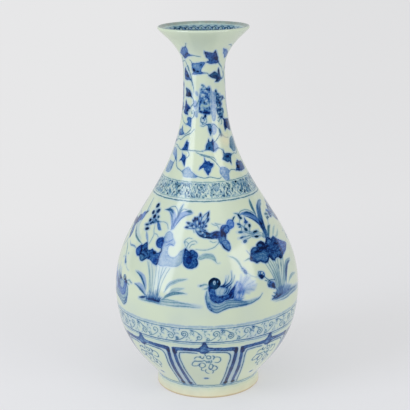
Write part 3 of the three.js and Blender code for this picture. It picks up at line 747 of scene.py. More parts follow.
    # The blade at its right, the ground and the tuft
    hand.wash([47, 96, 53, 97.2, 59, 96.6, 66, 93, 78, 89.6, 82, 86, 70, 86.6, 56, 88, 44, 88.6], 0.2, 0.28,
            2, violet=0.5, halo=0.6)
    hand.leaves(5.4, 0.36, 0.24, [55.6, 97, 57.2, 103.4, 60, 109.4, 64.4, 113.2, 71, 114], violet=0.2)
    hand.leaves(3.2, 0.66, 0.55, [57.8, 98, 58.8, 103.4, 60.8, 108.4, 64.4, 111.8, 70, 112.6], violet=0.45)
    hand.leaves(3, 0.34, 0.22, [60.4, 97, 63.6, 100.4, 68, 101.4, 75, 100], violet=0.2)
    hand.lines(1.0, 0.8, *([x, 91, x + 0.2 * lean, 94, x + lean, level]
            for x, lean, level in ((47.4, -0.6, 95), (48.6, -0.4, 97.4), (49.4, 0, 98.4), (50.2, 0.4, 97),
            (51.2, 0.4, 98), (52.4, 0.6, 96.4))), shape="tail", violet=0.25)
    hand.lines(1.0, 0.6, *([x, 90.8, x + 0.3 * lean, 93.4, x + lean, level]
            for x, lean, level in ((53.4, -0.6, 97), (54.4, 0.4, 98), (55.4, 0.6, 96.6), (56.4, 1.6, 97.2),
            (57.6, 2.2, 96), (58.8, 3.4, 95.4), (60, 4.6, 94.2))), shape="tail", violet=0.7)
    hand.leaves(2, 0.86, 0.8, [43.4, 90, 47, 90.2, 52, 91.2], violet=0.5)
    hand.leaves(1.6, 0.4, 0.34, [43.6, 88.6, 52, 89, 60, 89.6, 68, 91.2], [45, 87, 56, 86.6, 66, 87.6,
            77, 86.4], [58, 92, 66, 90.6, 75, 89.4], violet=0.3)
    paint_buds(hand)


def paint_pond(skin):
    """Two kinds of clump turn about, a quarter of the way round from one another, with a duck between each
    pair and a flower over each duck."""
    for turn in (0, 180):
        for motif in (paint_lotus_clump, paint_arrowhead_clump, paint_flower, paint_duck):
            motif(Hand(skin, turn))
    for turn in (90, 270):
        paint_duck(Hand(skin, turn + 32, -1, -6.5), 5.4, 0.72)
        paint_flower(Hand(skin, turn - 2, 1, -1))


# The bands. The scroll and the diaper lie between two levels. The mouth's band starts at the lip and runs
# down into the mouth, so its height is counted on past the top. The stain is its angle, height and reach,
# and the golden share sets neighbours apart.

SCROLL_BAND = (61.6, 72.4)
DIAPER_BAND = (169.2, 180.2)
LIP = 2 * top - 299.2
MOUTH_BAND_TALL = 15
STAIN = (45, 211, 9)
GOLDEN = 0.618


def paint_ruled_lines(skin):
    """Rings ruled on the turning wheel between the bands, the first two broad and pale."""
    for height, width, ink, violet in [(74.9, 1.8, 0.24, 0.6), (59.4, 1.2, 0.34, 0.4),
            (180.7, 0.75, 0.56, 0), (168.9, 0.7, 0.42, 0), (167.1, 0.95, 0.68, 0), (73.0, 0.9, 0.62, 0.1),
            (61.0, 0.9, 0.84, 0.1), (57.6, 0.6, 0.16, 0), (11.5, 0.65, 0.66, 0), (9.9, 0.6, 0.6, 0)]:
        ring_line(skin, height, width, ink, violet=violet, halo=0.12)


def band_of(skin, low, high):
    """The rows of a skin between two heights, with their angles and their distances past the first
    height."""
    first, last = along_at(low), along_at(high)
    rows = np.flatnonzero((skin.along > first) & (skin.along < last))
    return rows, skin.angles[None, :], skin.along[rows, None] - first, last - first


def chance(u, v, seed):
    """A fraction that looks random, the same for the same two whole numbers."""
    return np.sin(u * 12.9898 + v * 78.233 + seed * 37.719) * 43758.5453 % 1


def paint_diaper(skin, low, high, cells):
    """A small diaper ground: a wash with two families of slanting lines in it, some left pale and some
    drawn dark, and in most cells a dark touch that leans and sits anyhow. u and v count the lines, which
    lie at whole numbers."""
    rows, angles, along, tall = band_of(skin, low, high)
    if len(rows) == 0:
        return
    around = angles / 360 * cells + 0.22 * unsteady(angles, along, 1)
    up = along / tall * 2.1 + 0.2 * unsteady(angles, along, 3)
    u, v = around + up, around - up
    cell_u, cell_v = np.floor(u), np.floor(v)
    place = angles * PER_DEGREE
    heavy = 0.5 + 0.5 * np.sin(3 * place + 4.4) * np.sin(2 * place + 1.2)
    density = 0.19 + 0.22 * heavy + 0.2 * (chance(cell_u, cell_v, 1) - 0.5)
    for line, order in ((np.abs(u - np.round(u)), np.round(u)), (np.abs(v - np.round(v)), np.round(v))):
        drawn = chance(order, np.floor(u + v), 4)
        stripe = 1 - ramp(line, 0.04, 0.17)
        left_pale = 1 - 0.8 * stripe * (drawn < 0.5)
        density = density * left_pale + (0.15 + 0.25 * heavy) * stripe * (drawn > 0.62)
    for seed, shift, long, wide in ((2, 0.12, 0.34, 0.17), (5, 0.26, 0.26, 0.14), (8, 0.34, 0.2, 0.14)):
        lean = WAVE * chance(cell_u, cell_v, seed)
        x = u - cell_u - 0.5 - shift * np.cos(3 * lean)
        y = v - cell_v - 0.5 - shift * np.sin(3 * lean)
        out = np.hypot((x * np.cos(lean) + y * np.sin(lean)) / long,
                (y * np.cos(lean) - x * np.sin(lean)) / wide)
        strength = ramp(chance(cell_u, cell_v, seed + 2), 0.25, 1.0)
        density = np.maximum(density, (0.5 + 0.48 * strength) * (strength > 0) * (1 - ramp(out, 0.7, 1.15)))
    edges = ramp(along, 0, 0.7) * (1 - ramp(along, tall - 0.7, tall))
    density = density * edges * (1 + 0.12 * unsteady(angles, along, 7))
    bluer = 0.36 - 0.3 * ramp(density, 0.25, 0.8) + 0.2 * (chance(cell_u, cell_v, 9) - 0.5)
    skin.violet[rows] += (bluer - skin.violet[rows]) * edges
    skin.ink[rows] = 1 - (1 - skin.ink[rows]) * (1 - density)


def curl(centre, start, turns, first, last, squash, count=9):
    """Points on a spiral about a centre: the angle runs evenly from start through some turns, and the
    radius in millimetres from first to last. Squash is how many degrees round the vase one millimetre
    is."""
    t = np.linspace(0, 1, count)
    angle = (start + turns * 360 * t) * PER_DEGREE
    radius = first + (last - first) * t
    return np.c_[centre[0] + squash * radius * np.cos(angle), centre[1] + radius * np.sin(angle)].ravel()


def paint_classic_scroll(skin, low, high, waves):
    """A running scroll in a fine line: curls by turns high and low on a stem that waves between the two
    ruled lines, with short hooks crowded about them. No two neighbours are alike in size or turn."""
    rows, angles, along, _ = band_of(skin, low - 0.6, high + 0.4)
    haze = 0.03 + 0.03 * ramp(unsteady(angles, along, 4), -0.5, 1.5)
    skin.ink[rows] = np.maximum(skin.ink[rows], haze)
    skin.violet[rows] = np.maximum(skin.violet[rows], 0.6)
    squash = 1 / (75 * PER_DEGREE)
    middle = (low + high) / 2
    step = 180 / waves
    for n in range(2 * waves):
        side = 1 if n % 2 else -1
        odd, other = (n * GOLDEN) % 1, (n * 0.387 + 0.2) % 1
        hand = Hand(skin, -180 + step * (n + 0.5), 1, middle)
        ink = 0.66 + 0.3 * other
        centre = (squash * (odd - 0.5) * 1.8, side * (1.7 - 0.7 * other))
        hand.lines(0.6, ink, curl(centre, -90 * side + 50 * odd, (1.2 + 0.6 * other) * side, 2.7 + 0.7 * odd,
                0.6, squash, 15), violet=0.05, halo=0.1)
        hand.lines(0.55, ink, curl((-0.5 * step, -side * (2.7 + 0.8 * odd)), 90 * side, -1.1 * side,
                1.8 - 0.6 * other, 0.4, squash, 9), [-0.62 * step, -side * 4.9, -0.3 * step, -side * 4.0,
                0, side * -1.6], violet=0.05, halo=0.1)
        for k, (x, level, reach, lean) in enumerate(((0.36, 0.3, 2.4, 75), (0.5, 3.2, 2.2, 100),
                (0.3, -2.8, 1.8, 60), (-0.3, 4.3, 1.4, 20), (0.12, -4.3, 1.5, 10), (0.6, -0.6, 2, 110))):
            turn = (lean + 50 * (chance(n, k, 3) - 0.5)) * PER_DEGREE
            x = x * step + 1.2 * squash * (chance(n, k, 5) - 0.5)
            hooks = [x, side * level, x + squash * reach * 0.5 * math.cos(turn),
                    side * level + reach * 0.5 * math.sin(turn), x + squash * reach * math.cos(turn + 0.6),
                    side * level + reach * math.sin(turn + 0.6)]
            hand.lines(0.58, 0.4 + 0.4 * chance(n, k, 7), hooks, violet=0.4 * (k % 2), halo=0.1)
        hand.dabs(0.5, (0.4 * step, side * -4.2, 1.2, 0.8), (-0.1 * step, side * 1.2, 0.9, 0.8), violet=0)


def paint_panel(hand):
    """A lappet panel: a thick frame with a peaked top, a thin line inside it, a cloud scroll and a
    pearl."""
    hand.lines(3.4, 0.11, [-14, 13, -15.6, 22, -17, 32, -18, 42, -18, 48, -14, 51.6, -6, 51.8], violet=0.8,
            halo=0.6)
    hand.lines(3.2, 0.11, [17.4, 13, 17.8, 24, 18.2, 38, 17.8, 48, 14, 51.8, 6, 52], violet=0.8, halo=0.6)
    hand.lines(2.4, 0.16, [-20.4, 13, -21.4, 24, -22.2, 36, -22.4, 48], violet=0.9, halo=0.5)
    hand.lines(2.8, 0.9, [-16.9, 13, -17.6, 17, -18.4, 24, -19.1, 32, -19.7, 40, -20, 47, -20, 53],
            inside=0.7, violet=0.6, halo=0.12)
    hand.lines(3.1, 0.92, [20.1, 13, 20.1, 22, 20.2, 32, 20.4, 40, 20.7, 47, 20.7, 53], inside=0.73,
            violet=0.6, halo=0.12)
    hand.wash([-21.2, 49, -21.4, 53.6, -20.4, 55.1, -12, 55.5, -6, 55.7, -3.6, 56.2, -1.8, 58, -0.6, 61.2,
            0.9, 61.2, 1.9, 58.4, 3.2, 56.4, 8, 55.9, 15, 55.4, 20.6, 54.9, 22, 53.4, 21.8, 49, 19.4, 49.8,
            18.6, 51.4, 12, 52.4, 5, 52.9, 2.6, 52, 1, 50.8, -0.6, 50.4, -2.6, 50.9, -4.4, 52.4, -12, 52.5,
            -17.6, 51.9, -18.5, 49], 0.95, 0.68, 1.5, violet=0.6, streaks=0.12, halo=0.1)
    hand.dabs(0.5, (-1.2, 53.4, 2.6, 2.2), (4, 54.2, 4, 1.2), violet=0.8, over=True)
    hand.lines(0.8, 0.92, [-11.2, 13, -12.4, 16, -14.4, 24, -15.6, 31, -16.4, 38, -17.2, 45, -16.8, 49,
            -15.4, 50.6, -8, 50.8, -4.6, 50.4], [0.6, 48.4, 0.2, 50, 1.4, 51.1, 5, 51.4, 11, 51.1,
            14.6, 50.4, 16.6, 48.4, 17.4, 45, 17, 38, 16.6, 28, 16.2, 20, 15.4, 13], violet=0.05, halo=0.12)
    hand.lines(0.9, 0.4, [-12, 11.8, 0, 11.9, 15, 11.7], violet=0)
    hand.dabs(0.96, (-16.5, 14, 3.6, 3.8, 20), (20, 14, 3.8, 4), violet=0.3)
    hand.leaves(1.5, 0.5, 0.4, [-20, 11.6, -16, 11, -12.6, 12.6], [15.4, 12.4, 19.6, 11, 24, 11.4],
            violet=0.4)
    paint_cloud(hand)
    hand.dabs(0.56, (0.4, 21.4, 4, 3.2), violet=0.5)


def paint_cloud(hand):
    """The cloud scroll that hangs in a panel: small rings and open loops in a fine line."""
    hand.lines(0.85, 0.72, [-6.8, 44.6, -6.4, 46, -4.8, 46.9, -2.8, 46.8, -3, 48],
            [-3, 47.6, -2.5, 46, -1.2, 45.6, -0.6, 47.6], [1.2, 47, 1.6, 48, 3, 48.1, 3.9, 47, 3.9, 45.8,
            2.8, 45, 1.6, 45.4, 1.2, 47], [6.8, 46.4, 8.8, 46.6, 10.4, 45.6, 10.8, 43, 9.8, 41, 8.2, 40.6,
            6.6, 41.2], [-6.8, 42.4, -8.4, 40.6, -9.3, 38.2, -8.4, 37, -6.4, 37, -4.6, 37.6],
            [-4.3, 38, -3.4, 39.8, -1.8, 40.5, -0.2, 39.6, 0.3, 37.6, -0.4, 35.8, -2.2, 35.1, -3.8, 36.2,
            -4.3, 38], [3, 37, 3.6, 38.8, 4.8, 39, 5.7, 37, 5.2, 34, 4.2, 32.8, 3.2, 33.8, 2.8, 35.4, 3, 37],
            [5.8, 37.2, 7.4, 37, 8.8, 35, 8.5, 33, 7.2, 31.8, 5.8, 31.8], [5.6, 31.6, 6.3, 30, 5.8, 28.2],
            [-2.4, 34.8, -2.9, 33, -2.4, 31.6, -1, 31.6], [0.8, 33, 0.2, 30.6, 1.4, 28.6, 2.9, 27.8],
            [4.2, 43.8, 4.6, 42, 3.8, 40.2], [-0.8, 43.6, 0.8, 42.4, 1, 40.8], violet=0.05, halo=0.12)
    hand.lines(1.1, 0.74, [5.4, 48, 6.4, 46.8, 5.8, 44.4], [-6.8, 42.5, -4.6, 42.2, -1.4, 42.6], violet=0.05)
    hand.dabs(0.76, (2.7, 41.8, 2.4, 2.6), inside=0.24, violet=0.1)
    hand.dabs(0.8, (-3.8, 38.6, 1.4, 1.6), (4.1, 33.4, 1.5, 1.6), violet=0.1)


def paint_panels(skin, panels):
    """Lappet panels side by side, the first a little left of the front."""
    for n in range(panels):
        paint_panel(Hand(skin, -2.2 + 360 / panels * n))


# The neck. Each leaf is its density, its lighter inside, how violet it is, and its outline.

# The faint violet leaves nearest the front, from about 10 to 38 degrees either side of it, are painted pale:
# a painted reflection of the softboxes, which wash the leaves out there. Their copies at the back are alike.
NECK_LEAVES = [
    (0.78, 0.56, 0.8, [-67, 279.4, -58, 281.4, -51, 283.4, -45, 284.8, -39, 285.4, -34.8, 286, -34.4, 283,
        -36, 280.6, -32, 279.4, -27, 278.7, -36, 277.8, -44, 276.9, -50, 275.9, -56, 274.9, -57, 277]),
    (0.95, 0.76, 0.7, [0.6, 282.6, 3.4, 281.7, 8, 281.6, 14, 281.2, 19, 280.7, 21.8, 281.2, 24, 283,
        27, 281.2, 31, 279.6, 34.6, 276.8, 38, 274.6, 42, 272.8, 35, 271.8, 26, 271.6, 16, 271.7, 10, 272.4,
        5, 273.2, 12, 274.4, 10, 275.6, 4.6, 277.2, 2.4, 279.8]),
    (0.7, 0.52, 0.8, [41, 284, 47, 283.2, 54, 282.6, 62, 281, 72, 279, 74, 276.8, 66, 275.4, 59, 275.8,
        54, 278, 49, 279.2, 45, 281.6]),
    (0.8, 0.46, 0.7, [-34.6, 271, -30, 272.5, -24, 272.2, -16, 272.8, -8, 273.2, 2.6, 273.2, -0.6, 270.4,
        -6, 268, -8.4, 266.4, -5, 265.2, 3, 264.4, -6, 263.8, -16, 263.4, -26, 263.1, -34.6, 263.2, -30, 265,
        -33, 267.4]),
    (0.96, 0.8, 0.3, [12.6, 262.3, 19, 263.9, 26, 265.1, 33, 265.1, 40.2, 263.6, 41.4, 266.6, 43.4, 267.8,
        47, 265.6, 50.2, 261.6, 53, 260, 61, 259.4, 53, 258.4, 45, 257.2, 38, 256.8, 30, 257.2, 34.6, 258.8,
        28, 259.8, 20, 260.6]),
    (0.92, 0.72, 0.6, [-67, 264, -62, 268.2, -57, 266.4, -51, 264.6, -46.6, 262.8, -43.6, 261, -37, 258.8,
        -46, 258.4, -54, 258.3, -62, 258.5, -66, 260.4]),
    (0.96, 0.78, 0.35, [-60.4, 251.4, -54, 251.9, -47, 251.2, -41, 250, -38, 247.6, -33.8, 244.6, -42, 245.3,
        -50, 245, -60.4, 245.2, -57, 248.2]),
    (0.96, 0.78, 0.7, [-60, 241.4, -56, 242, -52.4, 239.4, -46, 238.4, -38.6, 236.2, -45, 235, -48.6, 233,
        -45.4, 230.8, -54, 230.8, -66, 232, -62, 235.4]),
    (0.76, 0.54, 0.8, [-47, 228.6, -40, 229.3, -34.6, 228.4, -33.4, 225, -34.2, 221.8, -40, 222.3,
        -51, 223.2, -44, 224.9, -48, 226.8]),
    (0.78, 0.5, 0.6, [-76, 217, -70, 218.5, -66, 219, -62.4, 222, -59, 219.2, -56, 217.6, -49.6, 215.4,
        -58, 214.3, -66, 213.7, -76, 213.8]),
    (0.86, 0.66, 0.8, [-44.6, 206.2, -42.4, 209.4, -39, 211.2, -36.6, 209.8, -33.4, 209.4, -33.6, 203.8,
        -40, 203.7, -48, 203.5]),
    (0.95, 0.7, 0.8, [-45, 201.4, -43.4, 198.6, -45, 196.4, -47, 194.8, -42, 195.4, -38, 193.8, -34.2, 191.6,
        -34.4, 195.4, -34.8, 198, -38, 199.9, -42, 200.2]),
    (0.94, 0.74, 0.8, [-1.8, 198.9, 0.4, 196.9, 3, 195.9, 6.4, 196.2, 9, 194.9, 12.6, 194.2, 11.6, 192.2,
        9.4, 190.6, 8, 188.6, 5.8, 187.2, 3.8, 185.6, 0.8, 187.6, -1.8, 189.8, -3.6, 191.4, -9.4, 189.5,
        -8, 192.2, -4, 194.4, -1.8, 196]),
    (0.92, 0.64, 0.5, [0, 204.6, 1.4, 208, 4.6, 210.4, 7.4, 213, 9.6, 210.8, 13.6, 211.2, 15.8, 213.4,
        17, 210.6, 16.9, 207, 16.6, 202.8, 10, 203.9, 4, 204.3, -5, 203.6]),
    (0.36, 0.3, 0.8, [16.4, 211.4, 20, 210.4, 24.6, 208.4, 26, 205.6, 21, 203.4, 16.4, 203.4]),
    (0.92, 0.66, 0.4, [29, 196.8, 33, 199, 34.4, 204, 36.6, 201.2, 41, 200.9, 46, 200.4, 53, 199.4,
        49.4, 197.4, 47, 195.2, 44.4, 191.8, 42.6, 194.2, 38, 194, 33, 195.6]),
    (0.5, 0.36, 0.8, [22.6, 190.6, 26, 191.4, 29.6, 191, 32.6, 190.4, 37.6, 187.6, 34.6, 185.2, 33, 181.6,
        28, 181.2, 24.4, 183.4, 21, 187]),
    (0.94, 0.76, 0.6, [49, 187, 53.6, 189, 55.6, 191.8, 62, 194, 67, 192.4, 76, 191.4, 78, 186, 66, 185.2,
        56, 185.7, 52, 186.4]),
    (0.96, 0.82, 0.5, [50.4, 217.6, 49.8, 222, 51.6, 225.4, 47, 228.4, 56, 227, 66, 226.5, 77, 225.4,
        77, 217, 66, 217.8, 59, 219.4, 54.6, 218.6]),
    (0.6, 0.46, 0.3, [52.6, 205, 56, 208, 61.6, 211.2, 70, 212, 77, 211, 77, 203, 66, 200.4, 59, 201,
        56, 203]),
    (0.5, 0.36, 0.6, [-78, 192.4, -68, 193, -60.6, 192.4, -59, 188, -64, 184.6, -78, 185]),
    (0.42, 0.34, 0.8, [-77, 203.6, -67, 203, -59, 199.6, -54, 194.6, -60, 195.6, -68, 197.6, -77, 198.6]),
    (0.42, 0.3, 0.7, [-36, 188.2, -33, 190, -28, 191.5, -24.6, 191, -20, 188.4, -11, 184.3, -30, 183.8,
        -34, 185.8]),
    (0.82, 0.58, 0.4, [1.6, 223.9, 6, 224.4, 10, 224.7, 14.4, 224.4, 15.6, 222, 14.8, 218.4, 12.4, 215.2,
        9.8, 217.3, 7.6, 220, 6.8, 222.6]),
    (0.34, 0.28, 0.9, [16, 224, 22, 224.2, 27.6, 221.6, 25.6, 217.4, 20, 215.6, 16.4, 217]),
    (0.7, 0.56, 0.3, [32.6, 218.6, 35.4, 220, 38, 218, 40, 214.4, 36.6, 213.6, 34, 215]),
    (0.3, 0.26, 0.9, [-31.6, 241, -26, 243, -20, 241.4, -17, 238, -22, 235.4, -28, 236]),
    (0.36, 0.3, 0.8, [-26, 233.6, -21, 234.8, -17, 232.6, -18, 229.6, -24, 230]),
    (0.34, 0.3, 0.8, [-25, 249.6, -18.6, 250, -17, 246.8, -23, 246.2]),
    (0.36, 0.32, 0.75, [16.4, 251, 22, 250, 28, 249, 30, 243, 30.6, 236, 28, 228, 22, 226, 17.4, 230]),
    (0.9, 0.7, 0.6, [84, 275, 92, 273.4, 101, 270, 96, 266.4, 86, 265.4, 78, 268, 82, 271]),
    (0.9, 0.7, 0.6, [84, 236, 93, 235, 99, 231, 93, 227.8, 85, 227, 79, 231]),
    (0.8, 0.6, 0.5, [87, 214, 95, 212.4, 100, 208, 93, 205.4, 85, 206, 82, 210]),
]
NECK_STEMS = [
    [-84, 274, -72, 272.4, -58, 273.6, -52, 270.4, -47.4, 266.6, -43, 265, -38, 261, -34, 257, -31, 253,
     -30.4, 249],
    [-54, 268.6, -48, 269.6, -44.6, 266], [-40, 258.8, -36, 257.4, -33.4, 254.6],
    [-28, 278.6, -20, 278.4, -8, 277.6], [-40, 285.2, -34, 286.6, -30, 289],
    [-38, 274.6, -34.6, 273.6, -32.6, 271.6], [2, 264.6, 8, 264.4, 13, 262.4],
    [39, 273.4, 45, 271.2, 51, 269.6, 56, 267.6, 60, 264.6, 68, 260, 78, 254, 86, 250],
    [40, 272.2, 46, 270.2, 52, 268.6], [58, 259.6, 66, 262, 70, 266, 84, 268],
    [52, 286.4, 60, 286, 70, 283.6], [-35, 245, -32, 244, -30, 240.6, -33, 239, -39, 236.8],
    [-33, 239, -26, 238, -20, 239.6, -16, 243], [-36, 234, -33, 232, -30, 235],
    [-34, 228, -28, 230, -27, 234], [-52, 223.4, -62, 225, -70, 228, -84, 230],
    [-49.6, 215.4, -42, 216.6, -34, 219.6, -33, 222],
    [-84, 208, -75, 209, -66, 210.8, -58, 210.8, -52, 212.5, -46, 214.5, -36, 216, -24, 220],
    [-78, 206, -66, 205.8, -60, 204.8, -50, 203.2, -40, 203.6, -28, 203.8, -15, 203.6, -4, 203.6],
    [-16, 202.4, -8, 201.3, 0, 200.5, 8, 199.5, 14, 198.6, 18, 196.4],
    [-8, 200.7, 0, 199.6, 8, 198.6, 14, 196.5, 19, 193.6, 22.6, 191],
    [-66, 205, -62, 200, -58, 196.6, -53, 193.6, -50, 191, -46, 189.4, -40, 188.3, -34, 187],
    [-58, 196.6, -60, 192, -62, 188], [-34, 203.6, -29, 200, -36, 197],
    [17, 204, 24, 205.6, 30, 204.6, 35, 203], [17, 210, 25, 212, 33, 216],
    [53, 199, 60, 199.4, 68, 198.6, 82, 202, 90, 206], [38, 187.6, 43, 188.2, 49, 187.2],
    [15, 222, 22, 224, 30, 221, 34, 219], [46, 228.6, 40, 229.4, 34, 228.4], [77, 222, 86, 219, 92, 214],
    [56, 212, 46, 213, 41, 215], [77, 189, 86, 192, 92, 199, 96, 205],
    [-12, 185, -2, 183.8, 6, 184.4, 18, 183, 22, 184], [96, 250, 100, 262, 108, 272, 116, 276, 124, 278],
    [98, 232, 108, 236, 120, 236], [99, 208, 108, 212, 116, 216], [94, 244, 90, 240, 90, 236],
]

# Where the cobalt heaped in those leaves: its density, how violet it is, and the dabs
NECK_HEAPS = [
    (0.86, 0.2, [(-54, 277, 2.6, 1.6), (-47, 278.6, 2, 1.4), (-40, 279.8, 2, 1.6),
        (-51, 261.6, 4.4, 2.4, -15), (3.6, 280.8, 2, 1.8), (20.5, 275, 1.6, 3), (25, 281, 1.6, 2.4),
        (-8, 271, 2, 1.6), (-18, 265.6, 3, 1.8), (-28, 266.8, 3, 2.4, -30), (-38, 207, 2, 3),
        (-37, 195.4, 1.8, 3), (12, 220, 2, 3), (8, 206, 2, 1.6)]),
    (0.9, 0.8, [(2, 194.6, 2.4, 1.4), (9.6, 193, 1.8, 1.2), (4, 188, 1.6, 1.6)]),
    (0.96, 0.6, [(31, 276, 4.4, 3.6, -30), (44, 259.8, 4, 2.8), (41.4, 265.4, 1.4, 2.6),
        (-44, 247.4, 4.4, 2.8), (-56, 236.4, 3.6, 2.8), (-50, 234, 3.4, 2), (41, 198.4, 4.6, 2.6),
        (58, 189, 4, 4), (57, 222, 4.4, 4.6), (64, 222.6, 4, 3)]),
]


def paint_blossom(hand):
    """A dense blossom of many petals: a blotched wash with dark and pale dabs, a dark foot, a bud on top
    and a knotted stalk below."""
    hand.wash([-14.6, 235, -15, 240, -14.2, 246.6, -12, 249.4, -10, 252.2, -6, 253.4, -2, 254.8, 3, 254.2,
            6.4, 252.8, 9.6, 254.2, 14.4, 253.6, 15.6, 251, 15.8, 246, 15, 240, 15.6, 234, 14, 231.4,
            8, 231.8, 3.4, 231.6, 0, 230.6, -4, 232.2, -9, 233.2], 0.44, 0.36, 1.0, violet=0.55, blotch=0.5)
    hand.dabs(0.84, (-12.4, 245.4, 1.3, 3.6), (-10.4, 241.6, 1.7, 2.4), (-13.2, 236.6, 1, 3.6),
            (13.2, 251.4, 1.7, 3.2), (8.2, 247.3, 1, 1.8), (11, 244, 1.4, 2.2, 20), (2, 248.7, 3, 0.9, -8),
            (8, 245, 1.1, 1.6), (-5, 244.6, 2.2, 1), (-8, 243, 1.6, 1), (3.4, 246, 1.1, 1.6),
            (13.6, 236.4, 1.2, 2.4), (-4, 249.8, 2, 0.9), violet=0.7)
    hand.dabs(0.86, (-7.4, 251.5, 1.5, 0.9), (7, 251.5, 1.7, 1.5), (-0.6, 241.4, 1.1, 2.4),
            (6.2, 236.7, 1.9, 0.8), (0.4, 235, 1.7, 1.7), (13, 241.8, 1.2, 0.8), (4.4, 240.2, 1, 0.8),
            violet=0)
    hand.dabs(0.97, (-9.6, 234, 3, 1.5, -12), (1, 233.2, 4, 2), (9.6, 233, 3.6, 2), (5, 234.4, 2, 1.4),
            violet=0.8)
    hand.dabs(0.2, (-4.4, 247.4, 1.7, 1.1), (-0.2, 244.4, 1.1, 1), (4, 250.5, 1.6, 0.9),
            (2.8, 242.4, 1.2, 1.1), (12.2, 248, 1.1, 0.9), (7.6, 249.4, 1.4, 0.8), (6.8, 242.8, 1, 1.2),
            (-7.6, 246, 1, 0.7), over=True, violet=0.9)
    hand.dabs(0.28, (-5.4, 239, 2.8, 1.5), (2, 238.4, 2.6, 1.6), (10.4, 238.8, 2, 1.3),
            (-1, 252.6, 2.2, 0.9), (-9.8, 238.2, 1, 1.2), (-6, 235.6, 1.6, 1), over=True, violet=0.1)
    hand.dabs(0.5, (-5.4, 255, 2, 2), (-4.4, 225.7, 2, 1.2), violet=0.2)
    hand.dabs(0.93, (1.6, 230.4, 2, 2.8, -20), (-3.8, 229, 1.9, 1.6), (-0.7, 227.4, 1, 1), violet=0.4)
    hand.lines(0.7, 0.56, [-7.4, 230.6, -9.6, 228.4, -8.6, 226, -5, 224.8], [2.6, 229, 5, 227.2, 3.6, 225.4,
            -1, 224.6, -6, 224], [-10, 223, -4, 222.6, 2, 223.6], violet=0.2)


def paint_dark_blossom(hand):
    """A darker, broken blossom turned to the right."""
    hand.wash([29, 250.4, 32, 251.2, 36, 249.6, 38, 248, 42, 247.4, 45, 245.8, 51, 245.6, 57, 245.2,
            61, 244.2, 57, 242, 51, 241.4, 50.6, 239, 46.6, 237.4, 52, 236, 57, 234, 54.6, 231.4, 50, 229.6,
            46, 227.8, 40, 228.8, 36, 230.8, 32.6, 233, 31, 236, 33.6, 238.4, 30.6, 241, 31.2, 245, 29, 248],
            0.7, 0.5, 0.8, violet=0.3, blotch=0.5)
    hand.dabs(0.94, (32, 249.7, 1.5, 1.5), (38, 247, 3.2, 1), (34.4, 244.2, 1.5, 3), (43, 244.3, 3.2, 0.9),
            (40, 242.4, 1.9, 1.8), (57, 243.6, 2.2, 1.7), (33.6, 240.9, 1.5, 1), (43, 240.2, 2.8, 2),
            (48, 239, 2.2, 1.2), (45, 237.7, 1.7, 0.9), (44, 234.5, 3, 1.7), (34.6, 233.9, 1, 1),
            (42, 231.6, 2.8, 1), (47, 229, 3, 1.7), (37, 235.4, 1.4, 1), violet=0.3)
    hand.dabs(0.16, (46.6, 243.1, 1.7, 0.7), (38.4, 236.6, 2.2, 0.9), (52, 240.5, 1, 0.7),
            (38, 232.7, 1.1, 0.8), (48.4, 232.8, 1.1, 0.7), (36.6, 246, 0.8, 0.8), (50, 236.4, 1.6, 0.6),
            (39, 238.4, 0.8, 0.6), over=True, violet=0.7)
    hand.lines(0.7, 0.6, [40, 228, 36, 225.6, 33.4, 226.4], [43, 227.6, 44, 224.4, 40.6, 223.4],
            [60, 244.4, 66, 242.4, 72, 243], violet=0.1)


def paint_neck_scroll(skin):
    """Vine stems with ivy leaves round the neck and the lower trumpet, and dense blossoms."""
    for turn in (0, 180):
        hand = Hand(skin, turn)
        hand.lines(0.56, 0.8, *NECK_STEMS, violet=0, halo=0.1)
        for edge, inside, violet, outline in NECK_LEAVES:
            hand.wash(outline, edge, inside, 1.2, violet=violet, blotch=0.25, pieces=3)
        for ink, violet, dabs in NECK_HEAPS:
            hand.dabs(ink, *dabs, violet=violet)
        paint_blossom(hand)
        paint_dark_blossom(hand)
        paint_blossom(Hand(skin, turn + 94, 1, 2))


def paint_mouth_band(skin, waves):
    """A dense scroll band over a grey wash inside the mouth, which is painted shade, and a darker lip: a
    clay tint where the glaze ran thin, and a cobalt darkening over it that is painted shade of the lip's far
    edge."""
    rows, angles, along, tall = band_of(skin, LIP, LIP + MOUTH_BAND_TALL)
    # The grey wash is painted shade: it darkens the inside of the mouth.
    painted_shade = (0.12 + 0.04 * unsteady(angles, along, 2)) * (1 - ramp(along, tall - 3, tall))
    skin.ink[rows] = np.maximum(skin.ink[rows], painted_shade)
    # The lip: a clay tint where the glaze ran thin, and cobalt over it that is painted shade.
    rows, angles, along, tall = band_of(skin, LIP - 1.2, LIP + 1.4)
    thin = ramp(along, 0, 0.7) * (1 - ramp(along, tall - 1, tall)) * (1 + 0.3 * unsteady(angles, along, 6))
    skin.ink[rows] = np.maximum(skin.ink[rows], 0.5 * thin)
    skin.bare[rows] = 0.3 * thin
    ring_line(skin, LIP + 2.2, 0.5, 0.5, violet=0)
    ring_line(skin, LIP + 12.4, 0.7, 0.6, violet=0)
    pitch = 360 / waves
    for n in range(waves):
        hand = Hand(skin, -180 + pitch * (n + 0.5), 1, LIP + 2)
        odd = (n * GOLDEN) % 1
        ink = 0.8 + 0.2 * math.cos((pitch * n - 32) * PER_DEGREE)
        hand.lines(0.95, ink, curl((0, 3.1), 90, 1.3, 2.1 + 0.4 * odd, 0.5, 1.8, 10), curl((pitch / 2, 6.8),
                -90, 1.2, 2.1, 0.5, 2.2, 10), violet=0, halo=0.08)
        hand.lines(0.8, 0.95 * ink, [-pitch / 2, 1.6, -pitch * 0.26, 0.8, 0, 0.7],
                [-pitch * 0.5, 4.6, -pitch * 0.3, 5.2, -pitch * 0.1, 7.4], [0, 6.2, pitch * 0.2, 8.4,
                pitch * 0.1, 10], violet=0, halo=0.08)
        hand.dabs(0.99, (pitch * 0.3, 1.9, 1.7, 1.5), (-pitch * 0.2, 6.2, 1.7, 1.5), (0, 8.8, 1.5, 1.4),
                (pitch * 0.45, 3.6, 1.4, 1.8), violet=0)


